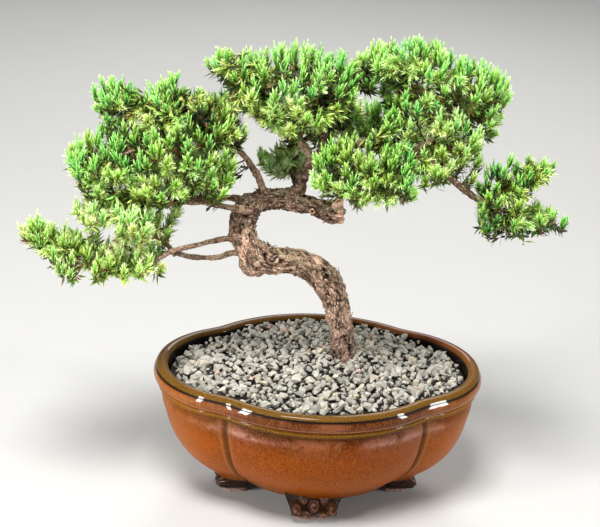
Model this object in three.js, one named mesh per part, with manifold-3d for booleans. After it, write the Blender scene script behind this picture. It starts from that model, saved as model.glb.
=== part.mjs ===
// A Japanese garden juniper trained as an informal bonsai, in a four-lobed glazed pot on scroll feet.
// Millimetres, +Z up. X runs along the long axis of the pot, and the viewer stands on the -Y side.
// Everything is laid out from the middle of the pot. At the end the whole bonsai is moved
// so that its origin is the middle of the bottom of its bounding box.

import * as THREE from "three";
import { mergeVertices } from "three/addons/utils/BufferGeometryUtils.js";
import Module from "manifold-3d";

const wasm = await Module();
wasm.setup();

// Driving dimensions of the pot. Four arcs make its outline: front, back, left and right.
const POT_HALF_WIDTH = 114.3;
const POT_HALF_DEPTH = 87;
const NOTCH_X = 70;
const NOTCH_Y = 59.5;
const POT_HEIGHT = 97;
const FOOT_HEIGHT = 14;
const FLOOR_THICKNESS = 8;
const WALL_THICKNESS = 7;
const COLLAR_HEIGHT = 13;
const RIM_WIDTH = 10;
const OUTLINE_STEPS = 56;
const BASE_SHIFT_X = 2.5;

// Feet: one below the middle of each lobe, cut like a cloud scroll.
const FOOT_PAD_HALF_WIDTH = 10.5;
const FOOT_TOP_HALF_WIDTH = 20.5;
const FOOT_THICKNESS = 18;
const FOOT_SUNK_TOP = FOOT_HEIGHT + 6.5;
const FRONT_FOOT_REACH = 53;
const SIDE_FOOT_REACH = 70;
const FRONT_FOOT_SHIFT = -3.5;

// Drainage: two holes, each under a mesh screen that a bent wire clip holds down.
const DRAIN_X = 34;
const DRAIN_RADIUS = 8;
const DRAIN_SIDES = 20;
const SCREEN_SIZE = 30;
const SCREEN_THICKNESS = 1.2;
const MESH_PITCH = 6;
const MESH_HOLE = 4;
const MESH_ROWS = 4;
const CLIP_WIRE_RADIUS = 0.75;
const CLIP_LEG_X = 3;
const CLIP_TOE_X = 13;

// Soil and gravel. The gravel lies level with the rim at the front and back, falls towards the
// left and right ends, and is mounded round the trunk.
const SOIL_EDGE_HEIGHT = 78;
const SOIL_SHOULDER_HEIGHT = 85;
const SOIL_MIDDLE_HEIGHT = 90;
const GRAVEL_RIDGE_HEIGHT = 97;
const GRAVEL_END_X = 100;
const GRAVEL_END_DROP = 8;
const GRAVEL_TRUNK_RISE = 6;
const GRAVEL_TRUNK_SPREAD = 42;
const GRAVEL_WALL_INSET = 11.4;
const GRAVEL_BUMP = 0.9;
const GRAVEL_WAVE = 0.6;
const GRAVEL_SHARES = [1, 0.86, 0.7, 0.52, 0.33, 0.15];
const SHOULDER_SHARE = 0.5;

// Clearance left between pieces that touch, and the wider one against the curved wall of the pot.
const GAP = 0.3;
const WALL_GAP = 0.45;

// Limbs are tubes along a smooth line.
const TRUNK_SIDES = 12;
const TRUNK_RING_STEP = 6;
const BRANCH_SIDES = 6;
const BRANCH_RING_STEP = 12;
const CAP_BULGE = 0.35;

// Foliage pads: cuts along an edge of the ball that a pad is drawn from, its least radius, the
// swell that makes up for its flat faces, and the clearance that is kept between two pads.
const PAD_DETAIL = 2;
const PAD_CORE = 4;
const PAD_SWELL = 1.5;
const PAD_GAP = 0.5;

// Centre line of the trunk, [x, y, z, radius]: out of the soil, left, up round the crook,
// and back right to the sawn stub at the end.
const TRUNK_LINE = [
  [19, 4, 72, 7],
  [18, 4, 86, 10],
  [17, 3, 103, 9.3],
  [14, 2, 123, 9],
  [9, 0, 140, 10],
  [3.5, -3, 155, 10.6],
  [-5.5, -5, 166.5, 10.4],
  [-19, -8, 174, 9.6],
  [-30, -10, 176, 8.9],
  [-40, -11, 176.5, 9.8],
  [-49, -9, 179.5, 10.3],
  [-55, -6, 187, 9.4],
  [-57.5, -2, 196, 9.4],
  [-55, 3, 206, 9.5],
  [-46, 6, 213, 8.7],
  [-35, 6, 214.5, 8.1],
  [-24, 5, 214, 8],
  [-13, 3, 211.5, 7.2],
  [-4, 1, 209, 7.6],
  [4, -1, 208, 8.5],
  [9, -2, 207.5, 8.3],
];

// The burl at the outside of the crook and the swelling where the two left limbs leave,
// as [x, y, z, radius x, radius y, radius z].
const TRUNK_SWELLINGS = [
  [-50, -9, 173.5, 10, 9.5, 10],
  [-55, 4, 211, 8, 8, 8],
];

// Centre lines of the branches, [x, y, z, radius], each from its parent to its tip.
const BRANCH_LINES = {
  branch_right_main: [
    [-25, 4, 215, 5], [-21, 2, 224, 4.4], [-19, 0, 233, 4], [-16, -2, 241, 3.7], [-13, -5, 248, 3.5],
    [-4, -9, 256, 3.1], [11, -14, 261, 2.9], [31, -20, 262, 2.7], [49, -24, 259, 2.5], [65, -27, 251, 2.4],
    [82, -28, 238, 2.2], [94, -28, 230, 2], [110, -27, 223, 1.7], [128, -24, 216, 1.4],
  ],
  branch_crown_left: [
    [-14, -5, 248, 2.6], [-20, -5, 256, 2.6], [-25, -4, 262, 2.5], [-34, 0, 272, 2.3],
    [-46, 3, 284, 2], [-60, 3, 295, 1.6], [-70, 2, 302, 1.3],
  ],
  branch_crown_middle: [
    [-6, -8, 255, 2.3], [-6, -5, 265, 2.2], [-7, 1, 279, 2], [-11, 4, 293, 1.6],
  ],
  branch_crown_right: [
    [32, -20, 262, 2.3], [35, -12, 272, 2.2], [38, -3, 286, 2], [41, 3, 302, 1.6],
  ],
  branch_right_upper: [
    [49, -24, 259, 2.2], [57, -22, 264, 2.1], [65, -19, 269, 2], [73, -13, 277, 2],
    [79, -7, 287, 1.7], [87, -2, 297, 1.4],
  ],
  branch_rising_left: [
    [-42, 4, 216, 3.6], [-45, 4, 223, 3.3], [-49, 1, 233, 3], [-54, -3, 241, 2.8], [-59, -7, 249, 2.6],
    [-68, -10, 258, 2.4], [-81, -10, 268, 2.1], [-96, -8, 276, 1.9], [-114, -4, 281, 1.6],
    [-133, 2, 282, 1.3],
  ],
  branch_high_left_rear: [
    [-53, 5, 213, 2.6], [-61, 7, 214, 2.3], [-69, 9, 213.5, 2.1], [-82, 13, 212, 1.9],
    [-96, 17, 210.5, 1.9], [-109, 20, 211, 1.7], [-126, 18, 217, 1.5], [-143, 10, 228, 1.3],
  ],
  branch_high_left_front: [
    [-56, -4, 210, 2.6], [-62, -8, 212, 2.2], [-68, -12, 214.5, 2], [-81, -17, 219, 1.9],
    [-91, -21, 221, 1.8], [-105, -24, 221, 1.6], [-120, -23, 217, 1.5], [-136, -20, 214, 1.3],
  ],
  branch_low_left_upper: [
    [-58, -4, 190, 2.3], [-69, -9, 191, 1.9], [-79, -14, 191, 1.7], [-89, -19, 190, 1.7],
    [-99, -23, 189, 1.7], [-106, -24, 187, 1.7], [-112, -24, 183, 1.6], [-120, -24, 179, 1.5],
    [-131, -24, 177, 1.4], [-147, -20, 179, 1.3], [-166, -15, 184, 1.1],
  ],
  branch_low_left_lower: [
    [-57, -7, 181, 2.3], [-66, -8, 180, 1.9], [-74, -10, 178, 1.8], [-84, -12, 178.5, 1.7],
    [-95, -13, 180, 1.7], [-104, -13, 184, 1.7], [-110, -12, 190, 1.5], [-119, -11, 197, 1.4],
    [-128, -12, 204, 1.3],
  ],
  branch_front: [
    [2, -6, 212, 4.4], [3, -9, 221, 3.8], [7, -16, 231, 3.1], [14, -25, 241, 2.5],
    [25, -33, 247, 2], [38, -37, 250, 1.7],
  ],
  branch_rear: [
    [-18, 7, 214, 3.4], [-21, 15, 222, 2.8], [-24, 24, 231, 2.5], [-24, 32, 241, 2.1],
    [-16, 38, 253, 1.8], [-4, 41, 261, 1.5],
  ],
  branch_rear_right: [
    [-23, 33, 242, 2.1], [-8, 39, 249, 2], [14, 42, 254, 1.9], [38, 39, 258, 1.7],
    [60, 34, 263, 1.5], [80, 30, 269, 1.3],
  ],
  branch_rear_left: [
    [-90, 15, 211, 2], [-92, 18, 221, 1.8], [-95, 21, 233, 1.6], [-104, 22, 243, 1.4], [-118, 19, 246, 1.2],
  ],
};

// Foliage pads: rounded masses, [x, y, z, radius x, radius y, radius z].
const FOLIAGE_PADS = {
  foliage_left_low: [
    [-188, -14, 196, 16, 23, 15], [-170, -18, 185, 20, 27, 14], [-148, -22, 181, 20, 28, 12],
    [-125, -22, 184, 17, 25, 12],
  ],
  foliage_left_inner: [
    [-153, -16, 214, 17, 23, 11], [-132, -20, 213, 20, 27, 15], [-119, -16, 203, 12, 20, 10],
    [-109, -14, 208, 7, 10, 7],
  ],
  foliage_left_middle: [
    [-158, -4, 245, 18, 27, 15], [-141, -8, 246, 18, 32, 21], [-154, -6, 230, 16, 23, 8],
    [-148, 0, 256, 16, 23, 9],
  ],
  foliage_left_high: [
    [-145, 6, 284, 13, 20, 13], [-133, 4, 283, 9, 17, 11], [-150, 3, 276, 8, 13, 7],
  ],
  foliage_left_crest: [
    [-113, -6, 286, 16, 25, 13], [-105, -4, 297, 7, 12, 10], [-88, 0, 280, 16, 23, 10],
    [-122, -4, 279, 10, 19, 10],
  ],
  foliage_left_front: [
    [-112, -18, 262, 18, 29, 18], [-89, -20, 265, 21, 32, 19], [-69, -12, 269, 12, 25, 16],
    [-105, -20, 238, 18, 28, 14], [-80, -20, 240, 17, 27, 15], [-128, -12, 253, 13, 25, 15],
    [-124, -20, 230, 12, 19, 10], [-72, -6, 281, 14, 22, 12],
  ],
  foliage_crown_left: [
    [-75, 0, 310, 13, 21, 11], [-50, 0, 297, 19, 32, 21], [-26, 2, 303, 21, 38, 21],
    [-1, 2, 299, 16, 36, 22], [-34, -4, 274, 17, 28, 14], [-12, -4, 280, 16, 29, 14],
    [-61, 2, 283, 12, 19, 10], [7, 2, 309, 9, 26, 11],
  ],
  foliage_crown_right: [
    [35, 4, 315, 17, 33, 15], [61, 4, 313, 18, 33, 15], [85, 0, 304, 17, 30, 16],
    [106, 0, 300, 11, 19, 12], [54, -4, 292, 20, 30, 12], [20, 6, 309, 10, 21, 9],
    [96, -4, 282, 16, 25, 14], [107, -4, 274, 7, 14, 10],
  ],
  foliage_front: [
    [-2, -32, 253, 14, 24, 17], [16, -36, 251, 17, 26, 19], [36, -38, 251, 15, 26, 19],
    [21, -36, 236, 17, 21, 10], [43, -34, 236, 12, 19, 9], [57, -30, 255, 12, 19, 12],
    [8, -26, 265, 13, 20, 10], [37, -28, 266, 12, 19, 10], [-11, -28, 246, 7, 14, 12],
  ],
  foliage_right_middle: [
    [69, -14, 280, 16, 26, 15], [85, -14, 268, 13, 24, 16], [68, -22, 257, 14, 21, 12],
    [85, -20, 255, 13, 19, 12], [46, -12, 279, 14, 21, 11],
  ],
  foliage_right_low: [
    [104, -24, 236, 13, 22, 16], [119, -24, 241, 12, 20, 15], [136, -20, 247, 12, 17, 10],
    [112, -24, 213, 15, 21, 13], [128, -24, 219, 13, 17, 11], [146, -20, 218, 14, 13, 8],
    [108, -22, 254, 7, 11, 11],
  ],
  foliage_rear_tuft: [
    [-31, 32, 235, 15, 17, 10], [-18, 32, 231, 10, 14, 9], [-44, 29, 242, 7, 10, 5],
  ],
  foliage_rear_crown: [
    [-6, 42, 265, 24, 27, 17], [-30, 40, 265, 16, 22, 15], [33, 42, 260, 22, 26, 15],
  ],
  foliage_rear_left: [
    [-93, 22, 244, 19, 26, 17], [-120, 18, 243, 17, 24, 16], [-84, 22, 263, 15, 22, 13],
  ],
  foliage_rear_right: [
    [81, 30, 270, 18, 26, 18], [61, 34, 262, 18, 24, 15], [96, 28, 282, 13, 21, 13],
  ],
};

// Materials, by the finish that each piece has.
const FINISH = {
  glaze: { color: "#8a4a1e", roughness: 0.15, metalness: 0 },
  mesh: { color: "#1d1f1d", roughness: 0.7, metalness: 0 },
  wire: { color: "#9a8f86", roughness: 0.35, metalness: 0.9 },
  soil: { color: "#3a2c20", roughness: 1, metalness: 0 },
  gravel: { color: "#a3a29c", roughness: 0.9, metalness: 0 },
  bark: { color: "#6b5142", roughness: 0.9, metalness: 0 },
  foliage: { color: "#5f8f34", roughness: 0.6, metalness: 0 },
};

const bonsai = new THREE.Group();

function place(name, geometry, finish) {
  const mesh = new THREE.Mesh(geometry, new THREE.MeshStandardMaterial(FINISH[finish]));
  mesh.name = name;
  bonsai.add(mesh);
  return mesh;
}

// A closed geometry as a solid that can be joined and cut.
function solid(geometry) {
  const bare = geometry.clone();
  bare.deleteAttribute("normal");
  bare.deleteAttribute("uv");
  const merged = mergeVertices(bare, 1e-4);
  return new wasm.Manifold(new wasm.Mesh({
    numProp: 3,
    vertProperties: new Float32Array(merged.attributes.position.array),
    triVerts: new Uint32Array(merged.index.array),
  }));
}

// A solid as a geometry again. A neighbour's cut can leave a crumb, so only the largest body stays.
function geometryOf(shape) {
  const bodies = shape.decompose();
  bodies.sort((a, b) => b.volume() - a.volume());
  const mesh = bodies[0].getMesh();
  const geometry = new THREE.BufferGeometry();
  geometry.setAttribute("position", new THREE.BufferAttribute(mesh.vertProperties, 3));
  geometry.setIndex(new THREE.BufferAttribute(mesh.triVerts, 1));
  geometry.computeVertexNormals();
  return geometry;
}

// A closed skin over rings of points, all with the same count, between a first and a last pole.
// Four points aren't quite flat, so two skins that lie face to face split theirs the same way:
// `crossed` takes the other diagonal, for the one whose rings run the other way.
function skin(firstPole, rings, lastPole, crossed = false) {
  const count = rings[0].length;
  const points = [firstPole, ...rings.flat(), lastPole];
  const last = points.length - 1;
  const faces = [];
  for (let j = 0; j < count; j += 1) {
    const next = (j + 1) % count;
    faces.push(0, 1 + next, 1 + j);
    for (let i = 0; i + 1 < rings.length; i += 1) {
      const low = 1 + i * count;
      const high = low + count;
      if (crossed) {
        faces.push(low + j, low + next, high + j);
        faces.push(low + next, high + next, high + j);
      } else {
        faces.push(low + j, low + next, high + next);
        faces.push(low + j, high + next, high + j);
      }
    }
    const top = 1 + (rings.length - 1) * count;
    faces.push(top + j, top + next, last);
  }
  const geometry = new THREE.BufferGeometry();
  geometry.setAttribute("position", new THREE.Float32BufferAttribute(points.flat(), 3));
  geometry.setIndex(faces);
  return geometry;
}

// The circle through the middle of a lobe at `reach` and through the notch at (across, along).
function lobeArc(reach, along, across) {
  const centre = (reach * reach - along * along - across * across) / (2 * (reach - along));
  return { centre, radius: reach - centre };
}

const SIDE_ARC = lobeArc(POT_HALF_WIDTH, NOTCH_X, NOTCH_Y);
const FRONT_ARC = lobeArc(POT_HALF_DEPTH, NOTCH_Y, NOTCH_X);

// Distance along a ray from the pot's middle to a circle on an axis; `toward` is the ray's
// component along that axis. A ray that misses the circle gives 0.
function reachOf(arc, toward, inset) {
  const along = arc.centre * toward;
  const radius = arc.radius - inset;
  const square = along * along - arc.centre * arc.centre + radius * radius;
  return square > 0 ? along + Math.sqrt(square) : 0;
}

// Radius of the four-lobed outline at an angle, drawn in by `inset` all round.
function outlineRadius(angle, inset) {
  const side = reachOf(SIDE_ARC, Math.abs(Math.cos(angle)), inset);
  const front = reachOf(FRONT_ARC, Math.abs(Math.sin(angle)), inset);
  return Math.max(side, front);
}

// One ring of the outline. `height` is a number, or a function of the ring point's x and y.
function outlineRing(inset, height, share = 1) {
  const ring = [];
  for (let j = 0; j < OUTLINE_STEPS; j += 1) {
    const angle = (2 * Math.PI * j) / OUTLINE_STEPS;
    const radius = outlineRadius(angle, inset) * share;
    const x = radius * Math.cos(angle);
    const y = radius * Math.sin(angle);
    ring.push([x, y, typeof height === "function" ? height(x, y) : height]);
  }
  return ring;
}

// The outside of the pot from the underside to the rim, then down the inside, as [inset, height].
function potRings() {
  const collarFoot = POT_HEIGHT - COLLAR_HEIGHT;
  const outside = [
    [42, FOOT_HEIGHT], [35, 20], [25.5, 28], [17, 38.5], [11, 51], [6.8, 65], [5.2, collarFoot - 1.5],
    [1.5, collarFoot], [0, collarFoot + 3], [0, POT_HEIGHT - 3],
  ];
  const rim = [[1.8, POT_HEIGHT - 0.6], [5, POT_HEIGHT], [RIM_WIDTH - 1.5, POT_HEIGHT - 1], [RIM_WIDTH, 93]];
  const inside = [
    [5.2 + WALL_THICKNESS, 78], [8 + WALL_THICKNESS, 60], [13 + WALL_THICKNESS, 46],
    [20 + WALL_THICKNESS, 34], [33 + WALL_THICKNESS, FOOT_HEIGHT + FLOOR_THICKNESS],
  ];
  return { outside, rim, inside };
}

// Inner wall, as [inset, height] from the floor up, for what fills the pot.
function innerWall(topHeight) {
  const { rim, inside } = potRings();
  const wall = [...inside].reverse();
  wall.push(rim[rim.length - 1]);
  const rings = [];
  for (let i = 0; i < wall.length; i += 1) {
    const [inset, height] = wall[i];
    if (height >= topHeight) {
      const [lowInset, lowHeight] = wall[i - 1];
      const share = (topHeight - lowHeight) / (height - lowHeight);
      rings.push([lowInset + share * (inset - lowInset), topHeight]);
      break;
    }
    rings.push([inset, height]);
  }
  return rings;
}

// Cloud-scroll outline of a foot: a narrow pad, two curls, and a wide top sunk in the pot.
function footGeometry(outward, reach, shift) {
  const pad = FOOT_PAD_HALF_WIDTH;
  const top = FOOT_TOP_HALF_WIDTH;
  const shape = new THREE.Shape();
  shape.moveTo(-pad, 0);
  shape.lineTo(pad, 0);
  shape.quadraticCurveTo(pad + 0.5, 4, pad + 3, 4.5);
  shape.quadraticCurveTo(pad + 7.5, 6, pad + 5, 10);
  shape.quadraticCurveTo(top + 0.5, 11, top, FOOT_SUNK_TOP);
  shape.lineTo(-top, FOOT_SUNK_TOP);
  shape.quadraticCurveTo(-top - 0.5, 11, -pad - 5, 10);
  shape.quadraticCurveTo(-pad - 7.5, 6, -pad - 3, 4.5);
  shape.quadraticCurveTo(-pad - 0.5, 4, -pad, 0);
  const geometry = new THREE.ExtrudeGeometry(shape, {
    depth: FOOT_THICKNESS,
    bevelEnabled: false,
    curveSegments: 3,
  });
  const up = new THREE.Vector3(0, 0, 1);
  const across = new THREE.Vector3().crossVectors(up, outward);
  geometry.applyMatrix4(new THREE.Matrix4().makeBasis(across, up, outward));
  geometry.translate(outward.x * (reach - FOOT_THICKNESS) + shift, outward.y * (reach - FOOT_THICKNESS), 0);
  return geometry;
}

// The thrown body sits a little to the right below its collar: the shift of its outside at a height.
function bodyShift(height) {
  const share = (POT_HEIGHT - COLLAR_HEIGHT - height) / (POT_HEIGHT - COLLAR_HEIGHT - FOOT_HEIGHT);
  return BASE_SHIFT_X * Math.max(0, share);
}

function makePot() {
  const { outside, rim, inside } = potRings();
  const outer = outside.map(([inset, height]) => (
    outlineRing(inset, height).map(([x, y, z]) => [x + bodyShift(height), y, z])
  ));
  const rings = [...outer, ...[...rim, ...inside].map(([inset, height]) => outlineRing(inset, height))];
  const bowl = solid(skin([0, 0, FOOT_HEIGHT], rings, [0, 0, FOOT_HEIGHT + FLOOR_THICKNESS]));
  let pot = bowl;
  for (const [x, y, reach, shift] of [
    [1, 0, SIDE_FOOT_REACH, BASE_SHIFT_X], [-1, 0, SIDE_FOOT_REACH, BASE_SHIFT_X],
    [0, 1, FRONT_FOOT_REACH, 0], [0, -1, FRONT_FOOT_REACH, FRONT_FOOT_SHIFT],
  ]) {
    pot = pot.add(solid(footGeometry(new THREE.Vector3(x, y, 0), reach, shift)));
  }
  for (const side of [-1, 1]) {
    const drain = new THREE.CylinderGeometry(DRAIN_RADIUS, DRAIN_RADIUS, 4 * FLOOR_THICKNESS, DRAIN_SIDES);
    drain.rotateX(Math.PI / 2);
    drain.translate(side * DRAIN_X, 0, FOOT_HEIGHT);
    pot = pot.subtract(solid(drain));
  }
  return pot;
}

// A square of plastic mesh over a drainage hole.
function makeScreen(x) {
  const middle = FOOT_HEIGHT + FLOOR_THICKNESS + GAP + SCREEN_THICKNESS / 2;
  const plate = new THREE.BoxGeometry(SCREEN_SIZE, SCREEN_SIZE, SCREEN_THICKNESS);
  plate.translate(x, 0, middle);
  let screen = solid(plate);
  for (let i = 0; i < MESH_ROWS; i += 1) {
    for (let j = 0; j < MESH_ROWS; j += 1) {
      const hole = new THREE.BoxGeometry(MESH_HOLE, MESH_HOLE, 2 * SCREEN_THICKNESS);
      const across = (i - (MESH_ROWS - 1) / 2) * MESH_PITCH;
      const along = (j - (MESH_ROWS - 1) / 2) * MESH_PITCH;
      hole.translate(x + across, along, middle);
      screen = screen.subtract(solid(hole));
    }
  }
  return screen;
}

// The staple of wire that goes down through the mesh and turns out under the pot.
function clipGeometry(x, grow) {
  const toeHeight = FOOT_HEIGHT - GAP - CLIP_WIRE_RADIUS;
  const topHeight = FOOT_HEIGHT + FLOOR_THICKNESS + SCREEN_THICKNESS + 2 * GAP + CLIP_WIRE_RADIUS;
  const y = MESH_PITCH / 2;
  const corners = [
    [-CLIP_TOE_X, toeHeight], [-CLIP_LEG_X, toeHeight], [-CLIP_LEG_X, topHeight],
    [CLIP_LEG_X, topHeight], [CLIP_LEG_X, toeHeight], [CLIP_TOE_X, toeHeight],
  ];
  return bentWire(corners.map(([across, height]) => [x + across, y, height]), CLIP_WIRE_RADIUS + grow);
}

// Wire of a square section with mitred corners, bent in the XZ plane.
function bentWire(corners, radius) {
  const rings = corners.map((corner, i) => {
    const here = new THREE.Vector3(...corner);
    const into = new THREE.Vector3(...corners[Math.max(i - 1, 0)]);
    const out = new THREE.Vector3(...corners[Math.min(i + 1, corners.length - 1)]);
    const before = here.clone().sub(into).normalize();
    const after = out.clone().sub(here).normalize();
    const forward = before.clone().add(after).normalize();
    const depthwise = new THREE.Vector3(0, 1, 0);
    const sideways = new THREE.Vector3().crossVectors(depthwise, forward);
    const either = before.lengthSq() > 0 ? before : after;
    const stretch = 1 / Math.sqrt(1 - sideways.dot(either) ** 2);
    return [[-1, -1], [1, -1], [1, 1], [-1, 1]].map(([a, b]) => here.clone()
      .addScaledVector(depthwise, -a * radius)
      .addScaledVector(sideways, b * radius * stretch)
      .toArray());
  });
  return skin(corners[0], rings, corners[corners.length - 1]);
}

// Radius of a limb at a share of its points, from the fourth number of each row.
function radiusAt(line, share) {
  const at = share * (line.length - 1);
  const low = Math.min(Math.floor(at), line.length - 2);
  return line[low][3] + (at - low) * (line[low + 1][3] - line[low][3]);
}

// A closed tube of changing radius along a smooth line, with slightly domed ends.
function limbGeometry(line, sides, ringStep, grow = 0) {
  const curve = new THREE.CatmullRomCurve3(line.map(([x, y, z]) => new THREE.Vector3(x, y, z)));
  const steps = Math.max(5, Math.round(curve.getLength() / ringStep));
  const frames = curve.computeFrenetFrames(steps, false);
  const rings = [];
  for (let i = 0; i <= steps; i += 1) {
    const centre = curve.getPointAt(i / steps);
    const radius = radiusAt(line, curve.getUtoTmapping(i / steps)) + grow;
    const ring = [];
    for (let j = 0; j < sides; j += 1) {
      const angle = (2 * Math.PI * j) / sides;
      const point = centre.clone()
        .addScaledVector(frames.normals[i], radius * Math.cos(angle))
        .addScaledVector(frames.binormals[i], radius * Math.sin(angle));
      ring.push(point.toArray());
    }
    rings.push(ring);
  }
  const startBulge = -CAP_BULGE * line[0][3] - grow;
  const endBulge = CAP_BULGE * line[line.length - 1][3] + grow;
  const start = curve.getPointAt(0).addScaledVector(frames.tangents[0], startBulge);
  const end = curve.getPointAt(1).addScaledVector(frames.tangents[steps], endBulge);
  return skin(start.toArray(), rings, end.toArray());
}

// A swelling of the trunk.
function swellingGeometry([x, y, z, radiusX, radiusY, radiusZ], grow) {
  const geometry = new THREE.IcosahedronGeometry(1, 1);
  geometry.scale(radiusX + grow, radiusY + grow, radiusZ + grow);
  geometry.translate(x, y, z);
  return geometry;
}

// How far a ray from `centre` goes before it leaves one rounded mass; 0 if it misses.
function lobeReach(centre, direction, [x, y, z, ...radii], grow) {
  const scale = new THREE.Vector3(...radii).addScalar(grow);
  const from = centre.clone().sub(new THREE.Vector3(x, y, z)).divide(scale);
  const along = direction.clone().divide(scale);
  const a = along.lengthSq();
  const b = from.dot(along);
  const square = b * b - a * (from.lengthSq() - 1);
  return square > 0 ? (Math.sqrt(square) - b) / a : 0;
}

// The skin round the rounded masses of one pad, as seen from the middle of the pad.
function padGeometry(lobes, grow) {
  const box = new THREE.Box3();
  for (const [x, y, z, radiusX, radiusY, radiusZ] of lobes) {
    box.expandByPoint(new THREE.Vector3(x - radiusX, y - radiusY, z - radiusZ));
    box.expandByPoint(new THREE.Vector3(x + radiusX, y + radiusY, z + radiusZ));
  }
  const centre = box.getCenter(new THREE.Vector3());
  const halfSize = box.getSize(new THREE.Vector3()).multiplyScalar(0.5);
  const geometry = new THREE.IcosahedronGeometry(1, PAD_DETAIL);
  const points = geometry.attributes.position;
  for (let i = 0; i < points.count; i += 1) {
    const direction = new THREE.Vector3().fromBufferAttribute(points, i).multiply(halfSize).normalize();
    const reach = Math.max(PAD_CORE, ...lobes.map((lobe) => lobeReach(centre, direction, lobe, grow)));
    points.setXYZ(i, ...centre.clone().addScaledVector(direction, reach));
  }
  return geometry;
}

function makeTrunk(grow) {
  const shapes = TRUNK_SWELLINGS.map((lobe) => solid(swellingGeometry(lobe, grow)));
  return shapes.reduce(
    (whole, shape) => whole.add(shape),
    solid(limbGeometry(TRUNK_LINE, TRUNK_SIDES, TRUNK_RING_STEP, grow)),
  );
}

// Pot, screens and clips.
place("pot", geometryOf(makePot()), "glaze");
for (const [side, x] of [["left", -DRAIN_X], ["right", DRAIN_X]]) {
  place(`drain_screen_${side}`, geometryOf(makeScreen(x)), "mesh");
  place(`screen_clip_${side}`, geometryOf(solid(clipGeometry(x, 0))), "wire");
}

// Soil, with room for the screens, the clips and the root crown.
const grownTrunk = makeTrunk(GAP);
const screenRoom = new THREE.BoxGeometry(SCREEN_SIZE + 2 * GAP, SCREEN_SIZE + 2 * GAP, 2 * SCREEN_THICKNESS);
const soilBottom = FOOT_HEIGHT + FLOOR_THICKNESS + GAP;
const screenTop = soilBottom + SCREEN_THICKNESS + GAP;
const soilWall = innerWall(SOIL_EDGE_HEIGHT).map(([inset, height], i) => (
  outlineRing(inset + WALL_GAP, i === 0 ? soilBottom : height)
));
const soilTop = outlineRing(GRAVEL_WALL_INSET, SOIL_SHOULDER_HEIGHT, SHOULDER_SHARE);
let soil = solid(skin([0, 0, soilBottom], [...soilWall, soilTop], [0, 0, SOIL_MIDDLE_HEIGHT], true));
for (const x of [-DRAIN_X, DRAIN_X]) {
  const room = screenRoom.clone();
  room.translate(x, 0, screenTop - SCREEN_THICKNESS);
  soil = soil.subtract(solid(room)).subtract(solid(clipGeometry(x, GAP)));
}
place("soil", geometryOf(soil.subtract(grownTrunk)), "soil");

// Crushed-stone gravel: one bumpy layer on the soil, mounded towards the trunk.
function gravelBump(x, y) {
  const across = Math.sin((x + y / 3) * GRAVEL_WAVE);
  const along = Math.cos((y - x / 5) * GRAVEL_WAVE);
  return GRAVEL_BUMP * across * along;
}
function gravelTop(x, y) {
  const trunkDistance = Math.hypot(x - TRUNK_LINE[2][0], y - TRUNK_LINE[2][1]);
  const rise = GRAVEL_TRUNK_RISE * Math.exp(-((trunkDistance / GRAVEL_TRUNK_SPREAD) ** 2));
  const drop = GRAVEL_END_DROP * (x / GRAVEL_END_X) ** 2;
  return GRAVEL_RIDGE_HEIGHT + rise - drop + gravelBump(x, y);
}
const gravelRings = [
  outlineRing(GRAVEL_WALL_INSET, SOIL_SHOULDER_HEIGHT + GAP, SHOULDER_SHARE),
  outlineRing(innerWall(SOIL_EDGE_HEIGHT).at(-1)[0] + WALL_GAP, SOIL_EDGE_HEIGHT + GAP),
  ...GRAVEL_SHARES.map((share) => outlineRing(GRAVEL_WALL_INSET, gravelTop, share)),
];
const gravel = solid(skin([0, 0, SOIL_MIDDLE_HEIGHT + GAP], gravelRings, [0, 0, gravelTop(0, 0)]));
place("gravel_top_dressing", geometryOf(gravel.subtract(grownTrunk)), "gravel");

// Trunk and branches. Each branch is cut back from all the wood before it.
place("trunk", geometryOf(makeTrunk(0)), "bark");
let grownWood = grownTrunk;
for (const [name, line] of Object.entries(BRANCH_LINES)) {
  const branch = solid(limbGeometry(line, BRANCH_SIDES, BRANCH_RING_STEP));
  place(name, geometryOf(branch.subtract(grownWood)), "bark");
  grownWood = grownWood.add(solid(limbGeometry(line, BRANCH_SIDES, BRANCH_RING_STEP, GAP)));
}

// Foliage, cut back from the wood that carries it and from the pads before it.
let taken = grownWood;
for (const [name, lobes] of Object.entries(FOLIAGE_PADS)) {
  place(name, geometryOf(solid(padGeometry(lobes, PAD_SWELL)).subtract(taken)), "foliage");
  taken = taken.add(solid(padGeometry(lobes, PAD_SWELL + PAD_GAP)));
}

// The origin is the middle of the bottom of the bounding box.
const box = new THREE.Box3().setFromObject(bonsai);
bonsai.position.set(-(box.min.x + box.max.x) / 2, -(box.min.y + box.max.y) / 2, -box.min.z);

export default bonsai;
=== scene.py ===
# %% [markdown]
# A juniper bonsai, dressed for its portrait.
# The solid pieces come ready made as a frame: pot, drain screens, wire clips, soil, gravel, trunk,
# branches and rounded foliage pads, all in metres round one set of axes. This lesson gives each
# one the surface that it really has: glaze, crushed stone, flaking bark, twigs and needles.
# A tree has far too many needles to place one by one, so every shape here is a whole numpy array.

# %% Load the frame
from math import cos, pi, radians, sin

import bmesh
import bpy
import numpy as np
from mathutils import Matrix, Vector
from mathutils.bvhtree import BVHTree
from mathutils.kdtree import KDTree


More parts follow.
